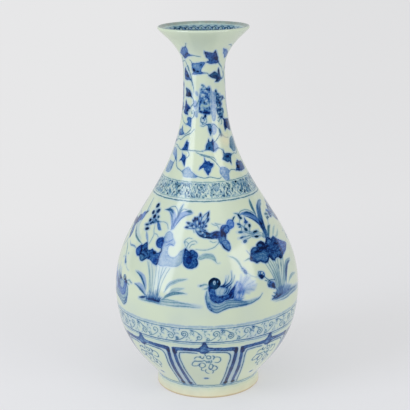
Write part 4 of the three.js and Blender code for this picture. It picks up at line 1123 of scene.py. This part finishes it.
def paint_stain(skin, angle, height, reach):
    """An ochre bloom in the glaze, where iron in the clay came through: it fades out from a place."""
    rows, angles, along, tall = band_of(skin, height - reach, height + reach)
    across = (angles - angle) * PER_DEGREE * skin.radii[rows, None]
    out = np.hypot(across, along - tall / 2) / reach * (1 + 0.2 * mottle(across, along))
    skin.bare[rows] = np.maximum(skin.bare[rows], 0.6 * (1 - ramp(out, 0.1, 0.9)))


def paint(skin, pattern):
    """All the painting that a skin takes."""
    paint_ruled_lines(skin)
    paint_pond(skin)
    paint_diaper(skin, *DIAPER_BAND, pattern.diaper_cells)
    paint_classic_scroll(skin, *SCROLL_BAND, pattern.scroll_waves)
    paint_panels(skin, pattern.panels)
    paint_neck_scroll(skin)
    paint_mouth_band(skin, pattern.mouth_waves)
    paint_stain(skin, *STAIN)


# Building a turned piece

def placed(name, data):
    """A new object in the scene."""
    made = bpy.data.objects.new(name, data)
    bpy.context.scene.collection.objects.link(made)
    return made


def stretch(line, low, high):
    """The part of a rising line between two levels, with its ends on them."""
    level = np.maximum.accumulate(line[:, 1])
    between = line[(level > low + 1e-4) & (level < high - 1e-4)]
    ends = np.array([[np.interp(l, level, line[:, 0]), l] for l in (low, high)])
    return np.vstack([ends[:1], between, ends[1:]])


def evenly(line, spacing):
    """A line read again at even distances of about the spacing."""
    along = distance_along(line)
    count = max(2, int(round(along[-1] / spacing)) + 1)
    places = np.linspace(0, along[-1], count)
    return np.c_[np.interp(places, along, line[:, 0]), np.interp(places, along, line[:, 1])]


# The piece's own map: plain faces get a small share of its height, it has so many strips at most, and a
# margin runs round each
PLAIN_SHARE = 0.04
MOST_STRIPS = 6
MAP_MARGIN = 0.004


def turned_piece(name, parts, columns, material):
    """A closed surface of revolution. Parts are stretches of its outline, each (points, skin or None), that
    follow one another up the outside and back down the inside. A point (radius, level) at angle a lies at
    (radius sin a, -radius cos a, level), so angle 0 faces the front. Where the outline starts and ends on
    the axis those rows are one point each, and otherwise it closes on itself. The edges where two stretches
    meet at a corner are sharp. The piece's map cuts it into strips side by side round the vase, laid one
    above another."""
    outline = np.vstack([points for points, skin in parts])
    corners = np.cumsum([len(points) for points, skin in parts])
    rows = len(outline)
    on_axis = outline[0, 0] < TINY
    angles = (np.arange(columns) * 360 / columns - 180) * PER_DEGREE
    radius, level = outline[:, :1], outline[:, 1:]
    grid = np.stack([radius * np.sin(angles), -radius * np.cos(angles), level + 0 * angles], -1)
    layers = np.zeros((3, rows, columns))
    start = 0
    for points, skin in parts:
        if skin is not None:
            layers[:, start:start + len(points)] = skin.ink, skin.violet, skin.bare
        start += len(points)

    spans = rows - 1 if on_axis else rows
    i = np.repeat(np.arange(spans), columns)
    j = np.tile(np.arange(columns), spans)
    i2, j2 = (i + 1) % rows, (j + 1) % columns
    faces = np.stack([i * columns + j, i * columns + j2, i2 * columns + j2, i2 * columns + j], -1)

    steps = np.linalg.norm(np.diff(np.vstack([outline, outline[:1]]), axis=0), axis=1)
    fine = np.zeros(rows, bool)
    start = 0
    for points, skin in parts:
        fine[start:start + len(points)] = skin is not None
        start += len(points)
    weights = np.where(fine, steps, steps * PLAIN_SHARE)
    height = np.r_[0, np.cumsum(weights[:spans])]
    height /= height[-1]
    strips = 2
    if fine.any():
        girth = 2 * math.pi * outline[fine, 0].mean()
        strips = int(np.clip(round(math.sqrt(girth / max(steps[fine].sum(), 1))), 1, MOST_STRIPS))
    while columns % strips:
        strips -= 1
    per_strip = columns // strips
    strip = j // per_strip
    across = (j - strip * per_strip) / per_strip
    u = np.stack([across, across + 1 / per_strip, across + 1 / per_strip, across], -1)
    v = np.stack([height[i], height[i], height[i + 1], height[i + 1]], -1)
    u = MAP_MARGIN + (1 - 2 * MAP_MARGIN) * u
    v = (strip[:, None] + MAP_MARGIN + (1 - 2 * MAP_MARGIN) * v) / strips

    mesh = bpy.data.meshes.new(name)
    mesh.vertices.add(rows * columns)
    mesh.vertices.foreach_set("co", (grid * MM).ravel())
    mesh.loops.add(faces.size)
    mesh.loops.foreach_set("vertex_index", faces.ravel())
    mesh.polygons.add(len(faces))
    mesh.polygons.foreach_set("loop_start", np.arange(len(faces)) * 4)
    mesh.polygons.foreach_set("use_smooth", np.ones(len(faces), bool))
    mesh.update(calc_edges=True)
    uv = mesh.uv_layers.new(name="OFBake")
    uv.data.foreach_set("uv", np.stack([u, v], -1).ravel())
    for label, values in zip(("cobalt", "violet", "bare"), layers):
        layer = mesh.attributes.new(label, "FLOAT", "POINT")
        layer.data.foreach_set("value", values.ravel())
    pairs = np.empty(len(mesh.edges) * 2, int)
    mesh.edges.foreach_get("vertices", pairs)
    ring = pairs.reshape(-1, 2) // columns
    sharp_rows = np.zeros(rows, bool)
    sharp_rows[corners % rows] = True
    sharp_rows[corners - 1] = True
    if on_axis:
        sharp_rows[[0, -1]] = False
    sharp = (ring[:, 0] == ring[:, 1]) & sharp_rows[ring[:, 0]]
    layer = mesh.attributes.get("sharp_edge") or mesh.attributes.new("sharp_edge", "BOOLEAN", "EDGE")
    layer.data.foreach_set("value", sharp)
    mesh.validate()
    mesh.materials.append(material)
    piece = placed(name, mesh)
    if on_axis:
        merge_close(piece)
    return piece


def merge_close(piece):
    """Makes one point of each row that lies on the axis."""
    work = bmesh.new()
    work.from_mesh(piece.data)
    on_axis = [v for v in work.verts if v.co.x ** 2 + v.co.y ** 2 < 1e-12]
    bmesh.ops.remove_doubles(work, verts=on_axis, dist=TINY)
    work.to_mesh(piece.data)
    work.free()


def painted_stretch(low, high, spacing, columns, pattern):
    """Points of the painted way between two heights, evenly spaced, and their painted skin."""
    first, last = along_at(low), along_at(high)
    count = int(round((last - first) / spacing)) + 1
    along = np.linspace(first, last, count)
    skin = Skin(along, columns)
    paint(skin, pattern)
    return way_at(along), skin


def columns_for(radius, spacing):
    """An even number of columns, in whole dozens, that puts them about the spacing apart at a radius."""
    return int(round(2 * math.pi * radius / spacing / 24)) * 24


# The sections: name, lowest and highest level, the CAD nodes that each stands for. The last three numbers
# are the painted faces that a section is given, the spacing of the plain inside's rings, and the foot's
# columns and its bevel.

SECTIONS = [
    ("panel_band", slip_high, 57.0, ("lower_body",)),
    ("scroll_band", 57.0, belly_joint, ("lower_body",)),
    ("pond_low", belly_joint, 118.0, ("upper_body", "belly_slip")),
    ("pond_high", 118.0, 152.0, ("upper_body",)),
    ("diaper_band", 152.0, neck_joint, ("upper_body",)),
    ("neck_low", neck_joint, 232.0, ("neck_and_mouth", "neck_slip")),
    ("neck_high", 232.0, 272.0, ("neck_and_mouth",)),
]
PAINTED_FACES = 88000
INNER_SPACING = 3.0
FOOT_COLUMNS = 480
FOOT_BEVEL = 0.8


def section_spacing(low, high, finest):
    """The grid's spacing for a section, and its widest radius: the area at its mean radius is shared among
    the painted faces, but no finer than need be. The columns are counted at the widest radius and the
    inside adds its rings, so a section can end up with more faces than that."""
    along = np.linspace(along_at(low), along_at(high), 50)
    radii = way_at(along)[:, 0]
    area = 2 * math.pi * radii.mean() * (along[-1] - along[0])
    return max(finest, math.sqrt(area / PAINTED_FACES)), radii.max()


def dressed(piece, nodes):
    """Sets a finished piece on the frame."""
    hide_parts(*nodes)
    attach(piece, "root")


def section_piece(name, low, high, nodes, material, pattern):
    """One closed ring of the wall: painted outside, plain inside, flat where it meets the next."""
    spacing, widest = section_spacing(low, high, pattern.finest_grid / MM)
    columns = columns_for(widest, spacing)
    outside, skin = painted_stretch(low, high, spacing, columns, pattern)
    inner_low = max(low, inner_line[0, 1])
    inside = evenly(stretch(inner_line, inner_low, high), INNER_SPACING)[::-1]
    parts = [(outside, skin), (inside, None)]
    if low <= slip_high + 0.01:
        radius, level = inside[-1]
        middle = frame_floor()
        t = np.linspace(1, 0, 14)[1:, None]
        floor = np.c_[radius * t, middle + (level - middle) * t ** 2]
        under = np.c_[np.linspace(0, outside[0, 0], 16)[:-1], np.full(15, low)]
        parts = [(under, None), (outside, skin), (np.vstack([inside, floor]), None)]
    piece = turned_piece(name, parts, columns, material)
    dressed(piece, nodes)


def frame_floor():
    """Level of the floor's middle: the highest corner of the lowest section that lies on the axis."""
    near = node_faces("lower_body")[0].reshape(-1, 3)
    near = near[np.hypot(near[:, 0], near[:, 1]) < 0.01]
    return near[:, 2].max()


def mouth_piece(low, material, pattern):
    """The trumpet: painted outside, over the lip and down inside, as one fine skin."""
    high = 2 * top - low
    spacing = pattern.mouth_grid / MM
    columns = columns_for(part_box("neck_and_mouth")[1].x / MM, spacing)
    outside, skin = painted_stretch(low, high, spacing, columns, pattern)
    piece = turned_piece("mouth", [(outside, skin)], columns, material)
    dressed(piece, ("neck_and_mouth",))


def foot_piece(material, pattern):
    """The foot ring: glazed outside to just above its bare edge, bare underneath and inside."""
    along = np.linspace(0, along_at(slip_high), 26)
    skin = Skin(along, FOOT_COLUMNS)
    paint(skin, pattern)
    angles = skin.angles[None, :]
    edge = 1.3 + 0.35 * unsteady(angles, 0 * along[:, None], 8)
    thin = 0.6 * (1 - ramp(along[:, None], 2, 10 + unsteady(angles, 0 * along[:, None], 5)))
    skin.bare[:] = np.maximum(1 - ramp(along[:, None], edge - 0.5, edge + 0.5), thin)
    inside = foot_inside[::-1]
    under = np.array([[foot_inside[0, 0] + FOOT_BEVEL, foot_level], [foot_knots[0, 0], foot_level]])
    below = np.vstack([[inside[0, 0], slip_high], inside])
    bare_skin = [Skin(np.zeros(len(p)), FOOT_COLUMNS) for p in (under, below)]
    for plain in bare_skin:
        plain.bare[:] = 1
    parts = [(under, bare_skin[0]), (way_at(along), skin), (below, bare_skin[1])]
    piece = turned_piece("foot", parts, FOOT_COLUMNS, material)
    dressed(piece, ("foot_ring", "foot_slip"))


# Materials

def nodes_of(name):
    """A new material's node tree and its shader."""
    material = bpy.data.materials.new(name)
    material.use_nodes = True
    tree = material.node_tree
    return material, tree, tree.nodes["Principled BSDF"]


def noise(tree, scale, detail, roughness, place):
    """A noise texture on the piece's own coordinates, scale in waves per metre."""
    node = tree.nodes.new("ShaderNodeTexNoise")
    node.inputs["Scale"].default_value = scale
    node.inputs["Detail"].default_value = detail
    node.inputs["Roughness"].default_value = roughness
    tree.links.new(place, node.inputs["Vector"])
    return node.outputs["Fac"]


def attribute(tree, name):
    """The value that a piece's points carry under a name."""
    node = tree.nodes.new("ShaderNodeAttribute")
    node.attribute_name = name
    return node.outputs["Fac"]


def sum_of(tree, *terms):
    """A value worked out from terms (operation, value), each applied in turn to what came before."""
    result = terms[0]
    for operation, value in terms[1:]:
        node = tree.nodes.new("ShaderNodeMath")
        node.operation = operation
        for socket, source in zip(node.inputs, (result, value)):
            if isinstance(source, (int, float)):
                socket.default_value = source
            else:
                tree.links.new(source, socket)
        result = node.outputs[0]
    return result


def color_ramp(tree, value, stops):
    """A colour for each value, blended between stops (position, linear colour)."""
    node = tree.nodes.new("ShaderNodeValToRGB")
    elements = node.color_ramp.elements
    while len(elements) < len(stops):
        elements.new(0.5)
    for element, (position, color) in zip(elements, stops):
        element.position = position
        element.color = (*color, 1)
    tree.links.new(value, node.inputs["Fac"])
    return node.outputs["Color"]


def map_range(tree, value, low, high, to_low, to_high, way="SMOOTHSTEP"):
    """A value carried from one range to another, and kept inside it."""
    node = tree.nodes.new("ShaderNodeMapRange")
    node.interpolation_type = way
    for socket, limit in zip(node.inputs[1:5], (low, high, to_low, to_high)):
        socket.default_value = limit
    tree.links.new(value, node.inputs["Value"])
    return node.outputs["Result"]


def axes_of(tree, place):
    """The X, Y and Z of a place."""
    node = tree.nodes.new("ShaderNodeSeparateXYZ")
    tree.links.new(place, node.inputs["Vector"])
    return node.outputs


def mixed(tree, share, first, second, blend="MIX"):
    """A colour between two, by a share, or the two multiplied."""
    node = tree.nodes.new("ShaderNodeMix")
    node.data_type = "RGBA"
    node.blend_type = blend
    sockets = [node.inputs[0], node.inputs[6], node.inputs[7]]
    for socket, source in zip(sockets, (share, first, second)):
        if isinstance(source, tuple):
            socket.default_value = (*source, 1)
        elif isinstance(source, (int, float)):
            socket.default_value = source
        else:
            tree.links.new(source, socket)
    return node.outputs[2]


def linear(red, green, blue):
    """A colour given as it looks on a screen, in linear light: ((c + 0.055) / 1.055) ^ 2.4."""
    return tuple(((c / 255 + 0.055) / 1.055) ** 2.4 for c in (red, green, blue))


# Cobalt under the glaze, by its density, from a pale wash to dark heaps
COBALT_STEPS = (0.1, 0.25, 0.44, 0.64, 0.83, 0.95, 1.0)
TEAL_BLUES = ((187, 208, 194), (150, 181, 178), (98, 140, 150), (50, 100, 122), (16, 64, 94), (4, 38, 66),
              (1, 24, 46))
VIOLET_BLUES = ((188, 204, 210), (155, 177, 204), (98, 137, 194), (46, 96, 172), (16, 62, 144), (4, 36, 108),
                (2, 22, 80))


def porcelain_material(settings):
    """Glaze over cobalt over clay. The cobalt attribute runs from pale wash to dark heaps, in a teal blue
    or, by the violet attribute, a violet one. The glaze carries faint clouds, and the bare attribute shows
    clay."""
    material, tree, shader = nodes_of("glazed porcelain")
    place = tree.nodes.new("ShaderNodeTexCoord").outputs["Object"]
    cobalt, violet, bare = (attribute(tree, name) for name in ("cobalt", "violet", "bare"))

    grain = noise(tree, 900, 3, 0.6, place)
    clouds = noise(tree, 120, 2, 0.5, place)
    broad = noise(tree, 26, 2, 0.5, place)
    grain_share = sum_of(tree, grain, ("SUBTRACT", 0.5), ("MULTIPLY", 0.55))
    cloud_share = sum_of(tree, clouds, ("SUBTRACT", 0.5), ("MULTIPLY", 0.75))
    uneven = sum_of(tree, grain_share, ("ADD", cloud_share), ("ADD", settings.cobalt_strength))
    density = sum_of(tree, cobalt, ("MULTIPLY", uneven))
    teal_blue, violet_blue = (color_ramp(tree, density,
            [(0.0, tuple(settings.glaze_color))] + [(at, linear(*color))
            for at, color in zip(COBALT_STEPS, colors)]) for colors in (TEAL_BLUES, VIOLET_BLUES))
    painted = mixed(tree, violet, teal_blue, violet_blue)
    glaze_clouds = color_ramp(tree, broad, [(0.3, linear(244, 246, 250)), (0.7, linear(255, 255, 246))])
    glazed = mixed(tree, 1.0, painted, glaze_clouds, "MULTIPLY")
    clay = color_ramp(tree, clouds, [(at, tuple(share * part for part in settings.clay_color))
                                     for at, share in ((0.25, 0.92), (0.5, 1), (0.8, 1.06))])
    burnt = map_range(tree, axes_of(tree, place)["Z"], 0.4 * MM, 2.2 * MM, 0.85, 0.0)
    clay = mixed(tree, burnt, clay, tuple(settings.burnt_color))
    color = mixed(tree, bare, glazed, clay)
    tree.links.new(color, shader.inputs["Base Color"])
    roughness = sum_of(tree, bare, ("MULTIPLY", 0.6), ("ADD", settings.glaze_roughness))
    tree.links.new(roughness, shader.inputs["Roughness"])
    shader.inputs["IOR"].default_value = 1.5

    ripple = noise(tree, 70, 1, 0.4, place)
    peel = noise(tree, 420, 2, 0.5, place)
    height = sum_of(tree, ripple, ("ADD", sum_of(tree, peel, ("MULTIPLY", 0.06))))
    bump = tree.nodes.new("ShaderNodeBump")
    bump.inputs["Strength"].default_value = 0.35
    bump.inputs["Distance"].default_value = 0.4 * MM
    tree.links.new(height, bump.inputs["Height"])
    tree.links.new(bump.outputs["Normal"], shader.inputs["Normal"])
    return material


def floor_material(settings):
    """A plain pale floor and backdrop that partly glow. The camera sees part of it as its plain colour,
    glowing, more of it further back and to the left: painted light that keeps it pale and lighter on the
    left, where the key light falls, and keeps a soft shadow. The glaze reflects its near part dimly, a
    painted dimming of that reflection."""
    material, tree, shader = nodes_of("pale floor")
    shader.inputs["Base Color"].default_value = (*settings.floor_color, 1)
    shader.inputs["Roughness"].default_value = 0.9
    shader.inputs["Specular IOR Level"].default_value = 0.0
    glow = tree.nodes.new("ShaderNodeEmission")
    glow.inputs["Color"].default_value = (*settings.backdrop_color, 1)
    place = axes_of(tree, tree.nodes.new("ShaderNodeTexCoord").outputs["Object"])
    # The glow that the camera sees is painted light: more of it further back and to the left, where the key
    # light falls.
    away = map_range(tree, place["Y"], -0.02, 0.6, 0.52, 0.93)
    light_path = tree.nodes.new("ShaderNodeLightPath").outputs
    painted_left_light = sum_of(tree, place["X"], ("MULTIPLY", -0.45), ("MINIMUM", 0.1), ("MAXIMUM", -0.1))
    seen = sum_of(tree, light_path["Is Camera Ray"], ("ADD", light_path["Is Transmission Ray"]),
            ("MINIMUM", 1.0))
    lit = sum_of(tree, light_path["Is Diffuse Ray"], ("MULTIPLY", settings.floor_glow))
    share = sum_of(tree, away, ("ADD", painted_left_light), ("MULTIPLY", seen), ("ADD", lit),
                   ("ADD", light_path["Is Glossy Ray"]), ("MINIMUM", 1.0))
    # Painted dimming of the floor as the glaze reflects it, strongest on the part nearest the camera.
    dimming = map_range(tree, place["Y"], -0.36, -0.08, 0.76, 0.08, "LINEAR")
    dimmed = sum_of(tree, light_path["Is Glossy Ray"], ("MULTIPLY", dimming), ("MULTIPLY", -1), ("ADD", 1.0))
    tree.links.new(dimmed, glow.inputs["Strength"])
    both = tree.nodes.new("ShaderNodeMixShader")
    tree.links.new(share, both.inputs[0])
    tree.links.new(shader.outputs["BSDF"], both.inputs[1])
    tree.links.new(glow.outputs["Emission"], both.inputs[2])
    tree.links.new(both.outputs["Shader"], tree.nodes["Material Output"].inputs["Surface"])
    return material


# Settings

class VasePaintingSettings(bpy.types.PropertyGroup):
    panels: bpy.props.IntProperty(
        name="Panels", description="Lappet panels side by side above the foot", default=8, min=3, max=12)
    scroll_waves: bpy.props.IntProperty(
        name="Scroll waves", description="Waves of the classic scroll round the bowl", default=19,
        min=6, max=40)
    diaper_cells: bpy.props.IntProperty(
        name="Diaper cells", description="Cells of the diaper band round the shoulder", default=72,
        min=12, max=144)
    mouth_waves: bpy.props.IntProperty(
        name="Mouth waves", description="Curls of the band inside the mouth", default=32, min=8, max=64)
    finest_grid: bpy.props.FloatProperty(
        name="Finest grid", description="Smallest spacing of the points that carry the painting",
        default=0.36 * MM, min=0.2 * MM, max=5 * MM, precision=5, unit="LENGTH")
    mouth_grid: bpy.props.FloatProperty(
        name="Mouth grid", description="Spacing of those points on the trumpet", default=0.42 * MM,
        min=0.2 * MM, max=5 * MM, precision=5, unit="LENGTH")


class VaseGlazeSettings(bpy.types.PropertyGroup):
    glaze_color: bpy.props.FloatVectorProperty(
        name="Glaze", description="Colour of the glaze over the white body", size=3,
        default=linear(207, 219, 197), min=0, max=1, subtype="COLOR")
    cobalt_strength: bpy.props.FloatProperty(
        name="Cobalt strength", description="How dense the cobalt is, against how it was painted", default=1,
        min=0, max=2)
    clay_color: bpy.props.FloatVectorProperty(
        name="Clay", description="Colour of the bare clay of the foot", size=3,
        default=linear(225, 218, 184), min=0, max=1, subtype="COLOR")
    burnt_color: bpy.props.FloatVectorProperty(
        name="Burnt edge", description="Colour of the clay's edge, burnt in the kiln", size=3,
        default=linear(176, 152, 110), min=0, max=1, subtype="COLOR")
    glaze_roughness: bpy.props.FloatProperty(
        name="Glaze roughness", description="How blurred the glaze's reflections are", default=0.125,
        min=0, max=1, subtype="FACTOR")


class VaseStageSettings(bpy.types.PropertyGroup):
    floor_color: bpy.props.FloatVectorProperty(
        name="Floor colour", description="Colour of the floor under the lamps", size=3,
        default=linear(234, 235, 237), min=0, max=1, subtype="COLOR")
    backdrop_color: bpy.props.FloatVectorProperty(
        name="Backdrop colour", description="Colour of the plain backdrop", size=3,
        default=linear(231, 231, 232), min=0, max=1, subtype="COLOR")
    floor_glow: bpy.props.FloatProperty(
        name="Floor glow", description="Share of the floor's own light that falls on the vase from below",
        default=1.0, min=0, max=1, subtype="FACTOR")
    room_light: bpy.props.FloatProperty(
        name="Room light", description="Strength of the even light from all round", default=0.43, min=0)
    room_reflected: bpy.props.FloatProperty(
        name="Room reflected", description="Share of the room's light that the glaze reflects", default=0.2,
        min=0, max=1, subtype="FACTOR")
    camera_distance: bpy.props.FloatProperty(
        name="Camera distance", description="From the vase's axis to the camera, level", default=0.9198,
        unit="LENGTH")
    camera_height: bpy.props.FloatProperty(
        name="Camera height", description="Above the table", default=0.3981, unit="LENGTH")
    camera_pitch: bpy.props.FloatProperty(
        name="Camera pitch", description="How far the camera looks down", default=-0.26057, unit="ROTATION")
    camera_yaw: bpy.props.FloatProperty(
        name="Camera yaw", description="How far it looks to the right", default=0.00504, unit="ROTATION")
    camera_roll: bpy.props.FloatProperty(
        name="Camera roll", description="How far it leans", default=-0.01234, unit="ROTATION")
    camera_lens: bpy.props.FloatProperty(
        name="Lens", description="Focal length on a 36 mm sensor", default=101.49)
    camera_shift: bpy.props.FloatProperty(
        name="Shift", description="Sideways shift of the film", default=-0.01598)


# Operators

class VASE_OT_foot(bpy.types.Operator):
    """Turns the foot ring, glazed outside and bare underneath"""
    bl_idname = "vase.foot"
    bl_label = "Foot ring"

    def execute(self, context):
        foot_piece(bpy.data.materials["glazed porcelain"], context.scene.vase_painting)
        return {"FINISHED"}


class VASE_OT_glaze(bpy.types.Operator):
    """Mixes the glaze that every section wears"""
    bl_idname = "vase.glaze"
    bl_label = "Glaze"

    def execute(self, context):
        porcelain_material(context.scene.vase_glaze)
        return {"FINISHED"}


class VASE_OT_sections(bpy.types.Operator):
    """Turns and paints the sections of the body and the neck"""
    bl_idname = "vase.sections"
    bl_label = "Body and neck"

    def execute(self, context):
        material = bpy.data.materials["glazed porcelain"]
        for name, low, high, nodes in SECTIONS:
            section_piece(name, low, high, nodes, material, context.scene.vase_painting)
        return {"FINISHED"}


class VASE_OT_mouth(bpy.types.Operator):
    """Turns and paints the trumpet mouth"""
    bl_idname = "vase.mouth"
    bl_label = "Mouth"

    def execute(self, context):
        mouth_piece(SECTIONS[-1][2], bpy.data.materials["glazed porcelain"], context.scene.vase_painting)
        return {"FINISHED"}


# The lamps: name, place, where each is aimed, its width and height, its power, and its colour. The left one
# stands in for a window, so it is the cooler.
LAMPS = [
    ("left_softbox", (-1.04, -0.7, 0.62), (0, 0, 0.16), 0.58, 1.2, 8.4, (0.93, 0.97, 1.12)),
    ("right_softbox", (1.08, -0.95, 0.58), (0, 0, 0.16), 0.75, 0.9, 7.2, (1.0, 0.985, 1.02)),
    ("overhead", (0, -0.5, 1.7), (0, 0, 0.1), 1.8, 1.8, 6.4, (1.0, 0.99, 1.0)),
]


def add_lamp(name, place, aim, wide, tall, power, color):
    """An oblong softbox at a place, facing another."""
    light = bpy.data.lights.new(name, "AREA")
    light.shape = "RECTANGLE"
    light.size, light.size_y = wide, tall
    light.energy = power
    light.color = color
    lamp = placed(name, light)
    lamp.location = place
    lamp.rotation_euler = (Vector(aim) - Vector(place)).to_track_quat("-Z", "Y").to_euler()


def add_backdrop(material):
    """A floor that sweeps up behind the vase: flat, then a quarter round of radius r, then upright, carried
    along X."""
    near, far, round_radius, rise, half = -3.0, 1.6, 0.8, 3.0, 4.0
    t = np.linspace(0, np.pi / 2, 24)
    y = np.r_[near, far + round_radius * np.sin(t), far + round_radius]
    z = np.r_[0, round_radius * (1 - np.cos(t)), rise]
    places = np.stack([np.stack([np.full(len(y), x), y, z], -1) for x in (-half, half)])
    count = len(y)
    n = np.arange(count - 1)
    faces = np.stack([n, n + count, n + count + 1, n + 1], -1)
    mesh = bpy.data.meshes.new("backdrop")
    mesh.from_pydata(places.reshape(-1, 3), [], faces)
    mesh.polygons.foreach_set("use_smooth", np.ones(len(faces), bool))
    mesh.materials.append(material)
    backdrop = placed("backdrop", mesh)


def room_world(settings):
    """A plain white room that lights the vase evenly, and that its glaze reflects only faintly, so that the
    darkest cobalt stays dark."""
    world = bpy.data.worlds.new("room")
    world.use_nodes = True
    tree = world.node_tree
    background = tree.nodes["Background"].inputs
    background["Color"].default_value = (1, 1, 1, 1)
    reflected = tree.nodes.new("ShaderNodeLightPath").outputs["Is Glossy Ray"]
    dimmer = settings.room_light * (settings.room_reflected - 1)
    strength = sum_of(tree, reflected, ("MULTIPLY", dimmer), ("ADD", settings.room_light))
    tree.links.new(strength, background["Strength"])
    return world


def add_camera(settings):
    """The photograph's camera: level distance and height from the vase's foot, then yaw, pitch and roll."""
    yaw, pitch, roll = settings.camera_yaw, settings.camera_pitch, settings.camera_roll
    ahead = Vector((math.sin(yaw) * math.cos(pitch), math.cos(yaw) * math.cos(pitch), math.sin(pitch)))
    right = ahead.cross(Vector((0, 0, 1))).normalized()
    up = right.cross(ahead)
    right, up = (math.cos(roll) * right + math.sin(roll) * up, math.cos(roll) * up - math.sin(roll) * right)
    data = bpy.data.cameras.new("camera")
    data.sensor_width = 36
    data.lens = settings.camera_lens
    data.shift_x = settings.camera_shift
    camera = placed("camera", data)
    turn = Matrix((right, up, -ahead)).transposed().to_4x4()
    stand = (0, -settings.camera_distance, settings.camera_height)
    camera.matrix_world = Matrix.Translation(stand) @ turn
    bpy.context.scene.camera = camera


class VASE_OT_stage(bpy.types.Operator):
    """Sets out the floor, the lamps and the photograph's camera"""
    bl_idname = "vase.stage"
    bl_label = "Stage"

    def execute(self, context):
        settings = context.scene.vase_stage
        add_backdrop(floor_material(settings))
        for lamp in LAMPS:
            add_lamp(*lamp)
        context.scene.world = room_world(settings)
        context.scene.view_settings.view_transform = "Standard"
        add_camera(settings)
        return {"FINISHED"}


class VASE_PT_panel(bpy.types.Panel):
    """Lists the pieces and the settings"""
    bl_idname = "VASE_PT_panel"
    bl_label = "Vase"
    bl_space_type = "VIEW_3D"
    bl_region_type = "UI"
    bl_category = "Vase"

    def draw(self, context):
        for operator in OPERATORS:
            self.layout.operator(operator.bl_idname)
        for settings in (context.scene.vase_painting, context.scene.vase_glaze, context.scene.vase_stage):
            for name in settings.bl_rna.properties.keys():
                if name not in ("rna_type", "name"):
                    self.layout.prop(settings, name)


OPERATORS = (VASE_OT_glaze, VASE_OT_foot, VASE_OT_sections, VASE_OT_mouth, VASE_OT_stage)
CLASSES = (VasePaintingSettings, VaseGlazeSettings, VaseStageSettings, *OPERATORS, VASE_PT_panel)


def register():
    for made in CLASSES:
        bpy.utils.register_class(made)
    bpy.types.Scene.vase_painting = bpy.props.PointerProperty(type=VasePaintingSettings)
    bpy.types.Scene.vase_glaze = bpy.props.PointerProperty(type=VaseGlazeSettings)
    bpy.types.Scene.vase_stage = bpy.props.PointerProperty(type=VaseStageSettings)


def unregister():
    del bpy.types.Scene.vase_stage
    del bpy.types.Scene.vase_glaze
    del bpy.types.Scene.vase_painting
    for made in reversed(CLASSES):
        bpy.utils.unregister_class(made)


def main():
    register()
    bpy.ops.vase.glaze()
    bpy.ops.vase.foot()
    bpy.ops.vase.sections()
    bpy.ops.vase.mouth()
    bpy.ops.vase.stage()


if __name__ == "__main__":
    main()
